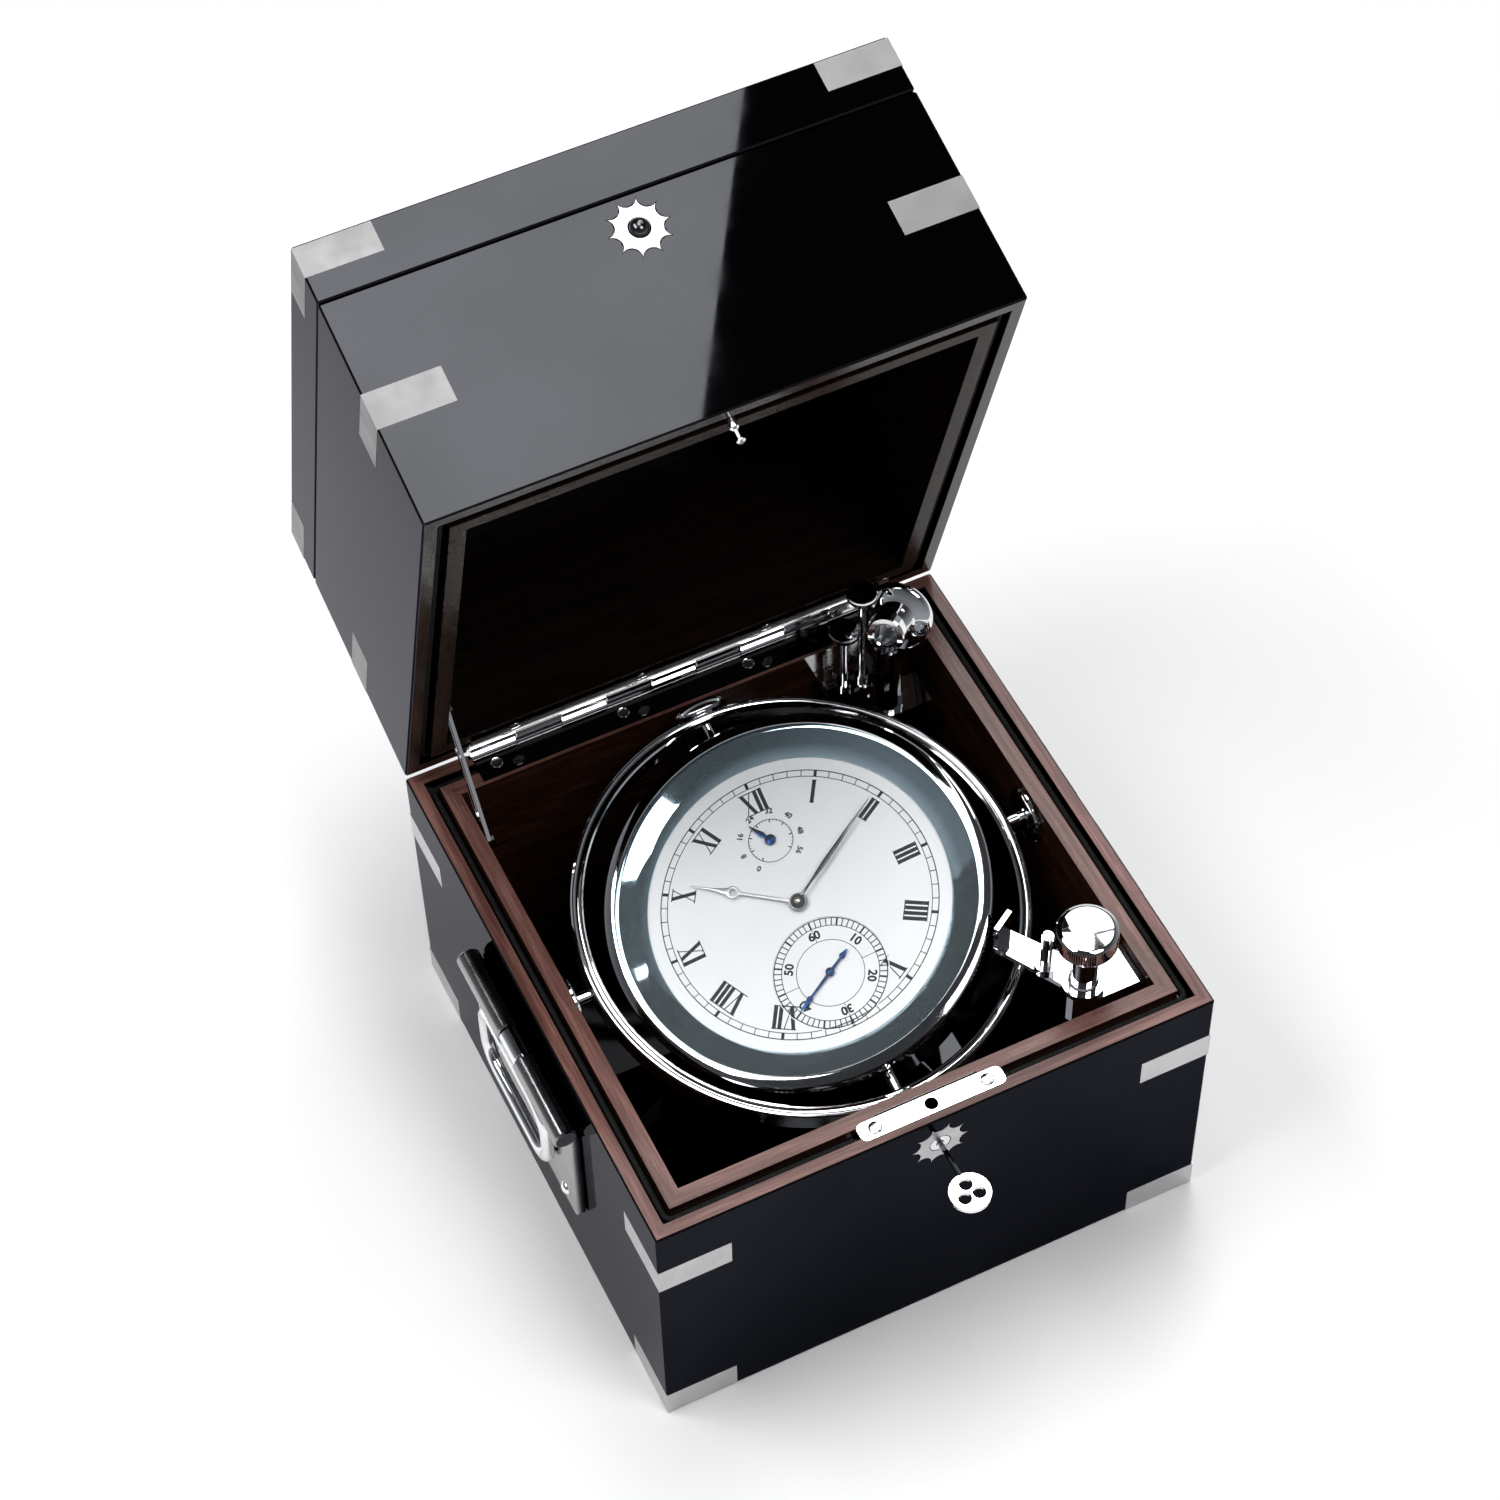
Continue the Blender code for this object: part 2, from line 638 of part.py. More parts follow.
def make_middle(lid):
    middle = piece("middle_case",
                   block((-HALF_WIDTH, -HALF_DEPTH, MIDDLE_LOW), (HALF_WIDTH, HALF_DEPTH, MIDDLE_TOP)),
                   LACQUER, parent=lid)
    bevel(middle, EDGE_BEVEL)
    cut(middle, block((-CAVITY_X, -CAVITY_Y, MIDDLE_LOW - OVERCUT),
                      (CAVITY_X, CAVITY_Y, MIDDLE_TOP + OVERCUT)))
    rim_cutters(middle, MIDDLE_LOW, 1, HALF_WIDTH - RIM_STRIP, HALF_DEPTH - RIM_STRIP, GROOVE_DEPTH)
    leaf_recess(middle, MIDDLE_LOW, 1)
    leaf_recess(middle, MIDDLE_TOP, -1)
    hinge_rebate(middle, HINGE_Z)
    hinge_rebate(middle, TOP_HINGE_Z)
    star_seat(middle, BUTTON_Z, BUTTON)
    pane_seat = PANE_LOW - FIT
    liner = piece("middle_liner",
                  block((-LINER_X, -LINER_Y, MIDDLE_LOW), (LINER_X, LINER_Y, pane_seat)),
                  ROSEWOOD, parent=lid)
    cut(liner, block((-ROOM_X, -ROOM_Y, MIDDLE_LOW - OVERCUT), (ROOM_X, ROOM_Y, pane_seat + OVERCUT)))
    leaf_recess(liner, MIDDLE_LOW, 1)
    pin_y, pin_z = stay_point(STAY_LID_ANGLE)
    inner = -ROOM_X + FIT + STAY_THICK + 2 * FIT
    join(liner, rod((-ROOM_X - BURY, pin_y, pin_z), (inner + BURY, pin_y, pin_z), STAY_PIN, 12))
    join(liner, rod((inner, pin_y, pin_z), (inner + 2 * BURY, pin_y, pin_z), STAY_HEAD, 12))
    piece("middle_glass", block((-LINER_X, -LINER_Y, PANE_LOW), (LINER_X, LINER_Y, PANE_TOP)),
          GLASS, parent=lid)


def make_top(top):
    lid = piece("top_lid", block((-HALF_WIDTH, -HALF_DEPTH, TOP_LOW), (HALF_WIDTH, HALF_DEPTH, TOP_TOP)),
                LACQUER, parent=top)
    bevel(lid, EDGE_BEVEL)
    cut(lid, block((-CAVITY_X, -CAVITY_Y, TOP_LOW - OVERCUT), (CAVITY_X, CAVITY_Y, TOP_TOP - TOP_PANEL)))
    leaf_recess(lid, TOP_LOW, 1)
    hinge_rebate(lid, TOP_HINGE_Z)


# ---------------------------------------------------------------- hinges and stay

def hinge_leaf(name, axis_z, rim_z, into, odd, pinned=False, parent=None):
    """One leaf of a piano hinge with every second knuckle. A pinned leaf carries the pin."""
    half = HINGE_LENGTH / 2
    front = HINGE_Y - BARREL - LEAF_WIDTH
    near = rim_z
    far = rim_z + into * LEAF
    leaf = piece(name, block((-half, front, near), (half, HINGE_Y, far)), CHROME, parent=parent)
    join(leaf, rod((-half, HINGE_Y, axis_z), (half, HINGE_Y, axis_z), BARREL, 10))
    if not pinned:
        end = half + OVERCUT
        cut(leaf, rod((-end, HINGE_Y, axis_z), (end, HINGE_Y, axis_z), HINGE_PIN + FIT, 8))
    pitch = HINGE_LENGTH / KNUCKLES
    gaps = []
    for knuckle in range(KNUCKLES):
        if knuckle % 2 == (0 if odd else 1):
            left = -half + knuckle * pitch - FIT / 2
            right = left + pitch + FIT
            reach = BARREL + FIT
            gaps.append(((left, HINGE_Y - reach, axis_z - 2 * reach),
                         (right, HINGE_Y + reach, axis_z + 2 * reach)))
    cut(leaf, blocks(gaps))
    if pinned:
        join(leaf, rod((-half + BURY, HINGE_Y, axis_z), (half - BURY, HINGE_Y, axis_z), HINGE_PIN, 8))


def make_hinges(lid, top):
    hinge_leaf("hinge_leaf_base", HINGE_Z, BASE_HEIGHT, -1, odd=False)
    hinge_leaf("hinge_leaf_middle", HINGE_Z, MIDDLE_LOW, 1, odd=True, parent=lid)
    hinge_leaf("top_hinge_leaf_lower", TOP_HINGE_Z, MIDDLE_TOP, -1, odd=False, pinned=True, parent=lid)
    hinge_leaf("top_hinge_leaf_upper", TOP_HINGE_Z, TOP_LOW, 1, odd=True, parent=top)
    half = HINGE_LENGTH / 2
    piece("hinge_pin", rod((-half, HINGE_Y, HINGE_Z), (half, HINGE_Y, HINGE_Z), HINGE_PIN, 8), CHROME)


def stay_point(angle):
    """A point on the stay's circle round the hinge, as (y, z)."""
    return HINGE_Y + STAY_CIRCLE * math.cos(angle), HINGE_Z + STAY_CIRCLE * math.sin(angle)


def make_stay():
    """Slotted arm: its direction turns half as far as the lid, so the pin stays in the slot."""
    base_y, base_z = stay_point(STAY_BASE_ANGLE)
    open_y, open_z = stay_point(STAY_LID_ANGLE - LID_OPEN)
    closed_y, closed_z = stay_point(STAY_LID_ANGLE)
    direction = math.atan2(open_z - base_z, open_y - base_y)
    long_reach = math.hypot(open_y - base_y, open_z - base_z)
    short_reach = math.hypot(closed_y - base_y, closed_z - base_z)
    axes = Matrix(((0, 0, 1), (math.cos(direction), -math.sin(direction), 0),
                   (math.sin(direction), math.cos(direction), 0)))
    low = -ROOM_X + 2 * FIT
    place = frame("stay_axis", (low, base_y, base_z), axes.to_euler())
    outline = arc((0, 0), STAY_HALF, math.pi / 2, 3 * math.pi / 2, 6)
    outline += arc((long_reach + STAY_PIN, 0), STAY_HALF, -math.pi / 2, math.pi / 2, 6)
    slot = arc((short_reach, 0), STAY_PIN + FIT, math.pi / 2, 3 * math.pi / 2, 4)
    slot += arc((long_reach, 0), STAY_PIN + FIT, -math.pi / 2, math.pi / 2, 4)
    piece("lid_stay", flat([outline, slot, circle(STAY_PIN + FIT, 12)], 0, STAY_THICK), CHROME, parent=place)
    head = low + STAY_THICK + FIT
    pivot = piece("stay_pivot",
                  rod((-ROOM_X + FIT, base_y, base_z), (head + BURY, base_y, base_z), STAY_PIN, 12), CHROME)
    join(pivot, rod((head, base_y, base_z), (head + 2 * BURY, base_y, base_z), STAY_HEAD, 12))


# ---------------------------------------------------------------- lock and catch

def make_lock():
    low = BASE_HEIGHT - LOCK_DROP
    under = BASE_HEIGHT - PLATE_THICK
    side = LOCK_LENGTH / 2
    front = LOCK_Y - PLATE_WIDTH / 2 + FIT
    back = LOCK_Y + PLATE_WIDTH / 2 + LOCK_WALL - FIT
    outline = rounded_rectangle((0, LOCK_Y), PLATE_LENGTH, PLATE_WIDTH, 2 * MM)
    lock = piece("lock_case", flat([outline], under, BASE_HEIGHT), CHROME)
    join(lock, block((-side, front, low), (side, back, under + BURY)))
    inner = (side - LOCK_WALL, back - LOCK_WALL, under - LOCK_WALL)
    cut(lock, block((-inner[0], front + LOCK_WALL, low + LOCK_WALL), inner))
    cut(lock, rod((0, LOCK_Y, inner[2] - OVERCUT), (0, LOCK_Y, BASE_HEIGHT + OVERCUT), CATCH_HOLE))
    cut(lock, rod((0, front - OVERCUT, KEY_Z), (0, front + 2 * LOCK_WALL, KEY_Z), PLUG + FIT))

    star_plate("lock_escutcheon", KEY_Z, PLUG)
    plug_end = LOCK_Y + CATCH_PIN + FIT
    plug = piece("lock_plug", rod((0, -HALF_DEPTH, KEY_Z), (0, plug_end, KEY_Z), PLUG, 20), CHROME)
    lug_front = plug_end - 1.2 * MM
    lug_top = KEY_Z + PLUG + 2 * MM
    join(plug, block((-1 * MM, lug_front, KEY_Z), (1 * MM, plug_end, lug_top)))
    key_end = -HALF_DEPTH + KEY_DEPTH + FIT
    cut(plug, rod((0, -HALF_DEPTH - OVERCUT, KEY_Z), (0, key_end, KEY_Z), KEY_SHAFT + FIT, 12))

    bolt_low = CATCH_TIP + NECK_LOW + FIT
    bolt_top = CATCH_TIP + NECK_HIGH - FIT
    bolt_end = -CATCH_PIN - 2 * FIT
    bolt_start = -side + LOCK_WALL + FIT
    bolt = piece("lock_bolt", block((bolt_start, front + LOCK_WALL + FIT, bolt_low),
                                    (bolt_end, back - LOCK_WALL - FIT, bolt_top)), STEEL)
    notch = CATCH_NECK + FIT
    cut(bolt, block((bolt_end - BOLT_TRAVEL, LOCK_Y - notch, bolt_low - OVERCUT),
                    (bolt_end + OVERCUT, LOCK_Y + notch, bolt_top + OVERCUT)))
    make_key()


def make_key():
    centre = (0, -HALF_DEPTH - KEY_REACH)
    rings = [circle(BOW, 28, centre)]
    for leaf in range(3):
        angle = math.pi / 2 + leaf * 2 * math.pi / 3
        reach = BOW * 0.43
        spot = (centre[0] + reach * math.cos(angle), centre[1] + reach * math.sin(angle))
        rings.append(circle(BOW * 0.33, 12, spot))
    key = piece("case_key", flat(rings, KEY_Z - BOW_THICK / 2, KEY_Z + BOW_THICK / 2), CHROME)
    join(key, rod((0, centre[1] + BOW - BURY, KEY_Z), (0, -HALF_DEPTH + KEY_DEPTH, KEY_Z), KEY_SHAFT, 12))


def star_plate(name, height, bore, parent=None):
    mesh = flat([star(), circle(bore + FIT, 20)], -STAR_THICK, 0)
    piece(name, stood(mesh, FACING_FRONT), SATIN, parent=parent, location=(0, -HALF_DEPTH, height))


def make_lid_fittings(lid):
    star_plate("button_escutcheon", BUTTON_Z, BUTTON, lid)
    dome = [(0, BUTTON_STAND), (BUTTON * 0.55, BUTTON_STAND * 0.88), (BUTTON * 0.88, BUTTON_STAND * 0.5),
            (BUTTON, 0), (BUTTON, -BUTTON_STEM), (0, -BUTTON_STEM)]
    turned("release_button", dome, CHROME, sides=20, parent=lid, location=(0, -HALF_DEPTH, BUTTON_Z),
           rotation=(math.pi / 2, 0, 0))
    root = MIDDLE_LOW + GROOVE_DEPTH - FIT
    shoulder = FIT + BURY
    shape = [(0, root), (CATCH_PIN, root), (CATCH_PIN, CATCH_TIP + NECK_HIGH + shoulder),
             (CATCH_NECK, CATCH_TIP + NECK_HIGH), (CATCH_NECK, CATCH_TIP + NECK_LOW),
             (CATCH_PIN, CATCH_TIP + NECK_LOW - shoulder), (CATCH_PIN, CATCH_TIP + shoulder),
             (CATCH_NECK, CATCH_TIP), (0, CATCH_TIP)]
    turned("catch_pin", shape, CHROME, sides=16, parent=lid, location=(0, LOCK_Y, 0))


# ---------------------------------------------------------------- carrying handles

def make_handle(name, side):
    """Plate with a rolled top and a hinged bail, on the left (side -1) or the right (side 1)."""
    face = side * (HALF_WIDTH + FIT)
    front = face + side * HANDLE_THICK
    half = HANDLE_LENGTH / 2
    top = HANDLE_FOOT + HANDLE_HEIGHT
    plate = piece("handle_plate_" + name, block((face, -half, HANDLE_FOOT), (front, half, top)), CHROME)
    bevel(plate, EDGE_BEVEL)
    axis_x = face + side * (ROLL + BURY)
    axis_z = top + ROLL / 2
    join(plate, rod((axis_x, -half, axis_z), (axis_x, half, axis_z), ROLL, 16))
    gap = ROLL_GAP / 2
    cut(plate, block((face - side * OVERCUT, -gap, top - 2 * FIT - ROLL),
                     (axis_x + side * 2 * ROLL, gap, axis_z + 2 * ROLL)))
    join(plate, rod((axis_x, -gap - ROLL, axis_z), (axis_x, gap + ROLL, axis_z), ROLL_PIN, 12))

    pivot = frame("bail_axis_" + name, (axis_x, 0, axis_z))
    knuckle = gap - FIT
    bore = ROLL_PIN + FIT
    eye = ROLL - 2 * FIT
    bail = piece("bail_" + name, rod((0, -knuckle, 0), (0, knuckle, 0), eye, 16), CHROME, parent=pivot)
    hang = front + side * (BAIL_WIRE + 2 * FIT) - axis_x
    top_bar = -ROLL - BAIL_WIRE - 2 * FIT
    middle = (top_bar - BAIL_DROP) / 2
    loop = rounded_rectangle((0, middle), 2 * BAIL_HALF, top_bar + BAIL_DROP, BAIL_CORNER, 4)
    join(bail, tube([(hang, y, z) for y, z in loop], BAIL_WIRE, 1, cyclic=True))
    neck = BAIL_WIRE * 0.8
    join(bail, block((hang - neck, -knuckle, top_bar), (hang + neck, knuckle, -bore - 2 * BURY)))
    cut(bail, rod((0, -gap - OVERCUT, 0), (0, gap + OVERCUT, 0), bore, 12))


# ---------------------------------------------------------------- gimbals

def pivot_profile(reach, shoulder):
    """Flanged pivot: the flange stands at height 0, the pin ends at reach."""
    return [(0, reach), (PIVOT_PIN, reach), (PIVOT_PIN, shoulder), (PIVOT_PIN + FIT, shoulder),
            (PIVOT_PIN + FIT, FLANGE_THICK), (FLANGE * 0.75, FLANGE_THICK), (FLANGE, FLANGE_THICK * 0.6),
            (FLANGE, 0), (0, 0)]


def make_gimbals(ring_frame):
    reach = ROOM_X - FIT - RING_INNER - 2 * FIT
    shoulder = ROOM_X - FIT - RING_OUTER - 2 * FIT
    for name, side in (("left", -1), ("right", 1)):
        turned("gimbal_pivot_" + name, pivot_profile(reach, shoulder), CHROME, sides=16,
               location=(side * (ROOM_X - FIT), 0, PIVOT_Z), rotation=(0, -side * math.pi / 2, 0))

    half = RING_HEIGHT / 2
    soft = RING_WALL * 0.2
    section = [(RING_INNER + soft, half), (RING_OUTER - soft, half), (RING_OUTER, half - soft),
               (RING_OUTER, soft - half), (RING_OUTER - soft, -half), (RING_INNER + soft, -half),
               (RING_INNER, soft - half), (RING_INNER, half - soft)]
    ring = turned("gimbal_ring", section, CHROME, sides=48, closed=True, parent=ring_frame)
    bore = PIVOT_PIN + 2 * FIT
    cut(ring, rod((-ROOM_X, 0, 0), (-RING_INNER + OVERCUT, 0, 0), bore, 12))
    cut(ring, rod((RING_INNER - OVERCUT, 0, 0), (ROOM_X, 0, 0), bore, 12))
    cut(ring, rod((0, -ROOM_Y, 0), (0, -RING_INNER + OVERCUT, 0), bore, 12))
    cut(ring, rod((0, RING_INNER - OVERCUT, 0), (0, ROOM_Y, 0), bore, 12))

    seat = RING_OUTER + FIT + FLANGE_THICK
    pin = pivot_profile(seat - BOWL_BORE - FIT, seat - RING_INNER)
    for name, side in (("front", -1), ("rear", 1)):
        turned("ring_pivot_" + name, pin, CHROME, sides=16, parent=ring_frame,
               location=(0, side * seat, 0), rotation=(side * math.pi / 2, 0, 0))


def make_bowl(bowl_frame):
    low = -BOWL_DEPTH
    side_end = -math.sqrt(SWING ** 2 - BOWL_RADIUS ** 2)
    inner_swing = SWING - BOWL_WALL
    inner_end = -math.sqrt(inner_swing ** 2 - BOWL_DRUM ** 2)
    rim_radius = BEZEL_RADIUS - 2 * FIT
    steps = 3
    outside = [side_end + (low - side_end) * i / steps for i in range(steps + 1)]
    inside = [BOWL_FLOOR + (inner_end - BOWL_FLOOR) * i / steps for i in range(steps + 1)]
    section = [(0, BOWL_FLOOR)]
    section += [(math.sqrt(inner_swing ** 2 - z ** 2), z) for z in inside]
    section += [(BOWL_DRUM, LEDGE), (BOWL_BORE, LEDGE), (BOWL_BORE, BOWL_RIM), (rim_radius, BOWL_RIM),
                (rim_radius, BOWL_RIM - RIM_PLATE), (BOWL_RADIUS, BOWL_RIM - RIM_PLATE)]
    section += [(math.sqrt(SWING ** 2 - z ** 2), z) for z in outside]
    section += [(0, low)]
    bowl = turned("bowl", section, BRASS, sides=40, parent=bowl_frame)
    for side in (-1, 1):
        cut(bowl, rod((0, side * (BOWL_DRUM - OVERCUT), 0), (0, side * RING_INNER, 0), PIVOT_PIN + FIT, 12))
    hole = turned_spot(fusee_spot())
    cut(bowl, rod((*hole, low - OVERCUT), (*hole, BOWL_FLOOR + OVERCUT), WINDING_HOLE, 16))

    shutter_low = low - FIT - SHUTTER_THICK
    pin = shutter_pin()
    outline = circle(SHUTTER, 24)
    shutter_frame = frame("shutter_axis", (*pin, 0), parent=bowl_frame)
    shift = Vector(hole) - Vector(pin)
    plate = [(x + shift[0], y + shift[1]) for x, y in outline]
    shutter = piece("dust_shutter", flat([plate], shutter_low, low - FIT), BRASS, parent=shutter_frame)
    join(shutter, rod((0, 0, shutter_low), (0, 0, low - FIT), SHUTTER * 0.4, 16))


def shutter_pin():
    hole = Vector(turned_spot(fusee_spot()))
    return tuple(hole * (1 - SHUTTER / hole.length))


def make_bezel(bowl_frame):
    low = BOWL_RIM + FIT
    groove = (BEZEL_OUTER_TOP - low) / 3
    section = [(GLASS_OPENING, BEZEL_INNER_TOP), (GLASS_OPENING + 0.8 * MM, BEZEL_INNER_TOP),
               (BEZEL_RADIUS, BEZEL_OUTER_TOP), (BEZEL_RADIUS, low + groove), (BEZEL_RADIUS - FIT, low),
               (BEZEL_BORE, low), (BEZEL_BORE, CRYSTAL_TOP + FIT), (GLASS_OPENING, CRYSTAL_TOP + FIT)]
    turned("bezel", section, CHROME, sides=48, closed=True, parent=bowl_frame)
    glass = [(0, CRYSTAL_TOP), (GLASS_OPENING - FIT, CRYSTAL_TOP), (CRYSTAL_RADIUS, CRYSTAL_TOP - FIT),
             (CRYSTAL_RADIUS, CRYSTAL_LOW), (0, CRYSTAL_LOW)]
    turned("crystal", glass, GLASS, sides=40, parent=bowl_frame)
    top = CRYSTAL_LOW - FIT
    foot = DIAL_TOP + FIT
    cone = [(DIAL_OPENING, foot + FIT), (GLASS_OPENING - FIT, top), (CRYSTAL_RADIUS, top), (CRYSTAL_RADIUS, low),
            (BOWL_BORE - FIT, low), (DIAL_OPENING, foot)]
    turned("reflector_ring", cone, CHROME, sides=40, closed=True, parent=bowl_frame)


# ---------------------------------------------------------------- dial and hands

def turned_spot(spot):
    """A place on the movement, as the bowl sees it."""
    cosine = math.cos(-DIAL_TURN)
    sine = math.sin(-DIAL_TURN)
    return (spot[0] * cosine - spot[1] * sine, spot[0] * sine + spot[1] * cosine)


def make_dial(dial_frame):
    low = DIAL_TOP - DIAL_THICK
    arbor_hole = PIVOT + FIT
    holes = [circle(3.2 * MM, 16), circle(arbor_hole, 12, (0, -SECONDS_OFFSET)),
             circle(arbor_hole, 12, (0, RESERVE_OFFSET))]
    dial = piece("dial", flat([circle(DIAL_RADIUS, 48)] + holes, low, DIAL_TOP), ENAMEL, parent=dial_frame)
    for foot in range(3):
        angle = foot * 2 * math.pi / 3 + math.pi / 6
        spot = (PILLAR_CIRCLE * math.cos(angle), PILLAR_CIRCLE * math.sin(angle))
        join(dial, rod((*spot, -PLATE_TOP + FIT), (*spot, low + BURY), DIAL_FOOT, 8))


def hand(name, outline, low, hub, bore, look, parent, angle):
    """A hand pointing along +Y, turned clockwise by an angle."""
    mesh = flat([outline], low, low + HAND_THICK)
    obj = piece(name, mesh, look, parent=parent, rotation=(0, 0, -angle))
    join(obj, rod((0, 0, low - HAND_THICK / 2), (0, 0, low + 1.5 * HAND_THICK), hub, 16))
    if bore:
        cut(obj, rod((0, 0, low - OVERCUT), (0, 0, low + OVERCUT), bore, 12))
    return obj


def make_hands(dial_frame):
    minutes = SHOWN_MINUTES + SHOWN_SECONDS / 60
    hours = SHOWN_HOURS + minutes / 60
    small_low = DIAL_TOP + 1.5 * FIT
    hour_low = small_low + 2.2 * HAND_THICK
    minute_low = hour_low + 2.4 * HAND_THICK
    bulb = HOUR_LENGTH * 0.63
    outline = [(0.5 * MM, 0), (0.7 * MM, bulb - 4 * MM)]
    outline += arc((0, bulb), 2.1 * MM, -math.pi / 4, math.pi / 3, 5)
    outline += [(0.4 * MM, bulb + 5 * MM), (0.15 * MM, HOUR_LENGTH)]
    outline += [(-x, y) for x, y in reversed(outline)]
    hour = hand("hour_hand", outline, hour_low, 3 * MM, ARBOR + FIT, STEEL, dial_frame, hours * math.pi / 6)
    cut(hour, rod((0, bulb, hour_low - OVERCUT), (0, bulb, hour_low + OVERCUT), 1.3 * MM, 12))
    outline = [(0.45 * MM, 0), (0.6 * MM, MINUTE_LENGTH * 0.3), (0.12 * MM, MINUTE_LENGTH),
               (-0.12 * MM, MINUTE_LENGTH), (-0.6 * MM, MINUTE_LENGTH * 0.3), (-0.45 * MM, 0)]
    hand("minute_hand", outline, minute_low, 2.4 * MM, ARBOR + FIT, STEEL, dial_frame, minutes * math.pi / 30)

    seconds_frame = frame("seconds_axis", (0, -SECONDS_OFFSET, 0), parent=dial_frame)
    outline = [(0.9 * MM, -SECONDS_TAIL + 2 * MM), (0.3 * MM, -SECONDS_TAIL + 5 * MM), (0.7 * MM, 0),
               (0.12 * MM, SECONDS_LENGTH), (-0.12 * MM, SECONDS_LENGTH), (-0.7 * MM, 0),
               (-0.3 * MM, -SECONDS_TAIL + 5 * MM), (-0.9 * MM, -SECONDS_TAIL + 2 * MM), (0, -SECONDS_TAIL)]
    hand("seconds_hand", outline, small_low, 1.3 * MM, PIVOT + FIT / 2, BLUED, seconds_frame,
         SHOWN_SECONDS * math.pi / 30)
    reserve_frame = frame("reserve_axis", (0, RESERVE_OFFSET, 0), parent=dial_frame)
    outline = [(0.5 * MM, 0), (0.12 * MM, RESERVE_LENGTH), (-0.12 * MM, RESERVE_LENGTH), (-0.5 * MM, 0)]
    reserve = hand("reserve_hand", outline, small_low, 1.6 * MM, 0, BLUED, reserve_frame, RESERVE_ANGLE)
    join(reserve, rod((0, 0, -PLATE_TOP + FIT), (0, 0, small_low), PIVOT, 8))


# ---------------------------------------------------------------- movement

def pitch_radius(module, teeth):
    return module * teeth / 2


def third_spot():
    """Third arbor: in mesh with the centre wheel and the seconds pinion."""
    to_centre = pitch_radius(CENTRE_MODULE, CENTRE_TEETH + LEAVES)
    to_fourth = pitch_radius(THIRD_MODULE, THIRD_TEETH + LEAVES)
    along = (to_centre ** 2 - to_fourth ** 2 + SECONDS_OFFSET ** 2) / (2 * SECONDS_OFFSET)
    return (math.sqrt(to_centre ** 2 - along ** 2), -along)


def fusee_spot():
    reach = pitch_radius(GREAT_MODULE, GREAT_TEETH + CENTRE_LEAVES)
    return (reach * math.cos(FUSEE_DIRECTION), reach * math.sin(FUSEE_DIRECTION))


def escape_spot():
    reach = pitch_radius(FOURTH_MODULE, FOURTH_TEETH + LEAVES)
    return (reach * math.cos(ESCAPE_DIRECTION), -SECONDS_OFFSET + reach * math.sin(ESCAPE_DIRECTION))


def balance_spot():
    x, y = escape_spot()
    return (x, y + ESCAPE_WHEEL + ROLLER + FIT)


def level(number):
    """Height of one of the wheel levels between the plates, counted from the pillar plate."""
    return TRAIN_TOP - 1.5 * MM - number * (PLATE_SPACE - 3 * MM) / 4


def wheel(name, outline, hub_spot, height, pinions, low, high, parent):
    """A wheel on its arbor, with pinions given as (height, radius)."""
    place = frame(name + "_axis", (*hub_spot, 0), parent=parent)
    obj = piece(name, flat([outline], height, height + WHEEL_THICK), BRASS, parent=place)
    join(obj, rod((0, 0, low), (0, 0, high), ARBOR, 10))
    for pinion_height, radius in pinions:
        join(obj, rod((0, 0, pinion_height - FIT), (0, 0, pinion_height + WHEEL_THICK + FIT), radius, 16))
    return obj


def make_plates(dial_frame):
    plate_low = TRAIN_TOP
    plate = piece("pillar_plate", rod((0, 0, plate_low), (0, 0, -PLATE_TOP), MOVEMENT_RADIUS, 40), BRASS,
                  parent=dial_frame)
    spots = [(0, 0), third_spot(), (0, -SECONDS_OFFSET), escape_spot(), fusee_spot(), BARREL_SPOT]
    top_low = TRAIN_LOW - MOVEMENT_PLATE
    top = piece("top_plate", rod((0, 0, top_low), (0, 0, TRAIN_LOW), TOP_PLATE_RADIUS, 32), BRASS,
                parent=dial_frame)
    for spot in spots:
        cut(plate, rod((*spot, plate_low - OVERCUT), (*spot, -PLATE_TOP + OVERCUT), ARBOR + FIT, 8))
        cut(top, rod((*spot, top_low - OVERCUT), (*spot, TRAIN_LOW + OVERCUT), ARBOR + FIT, 8))
    spot = balance_spot()
    cut(top, rod((*spot, top_low - OVERCUT), (*spot, TRAIN_LOW + OVERCUT), ARBOR + FIT, 8))
    for third in range(3):
        angle = PILLAR_DIRECTION + third * 2 * math.pi / 3
        spot = (PILLAR_CIRCLE * math.cos(angle), PILLAR_CIRCLE * math.sin(angle))
        join(plate, rod((*spot, TRAIN_LOW + FIT), (*spot, plate_low + BURY), PILLAR, 12))


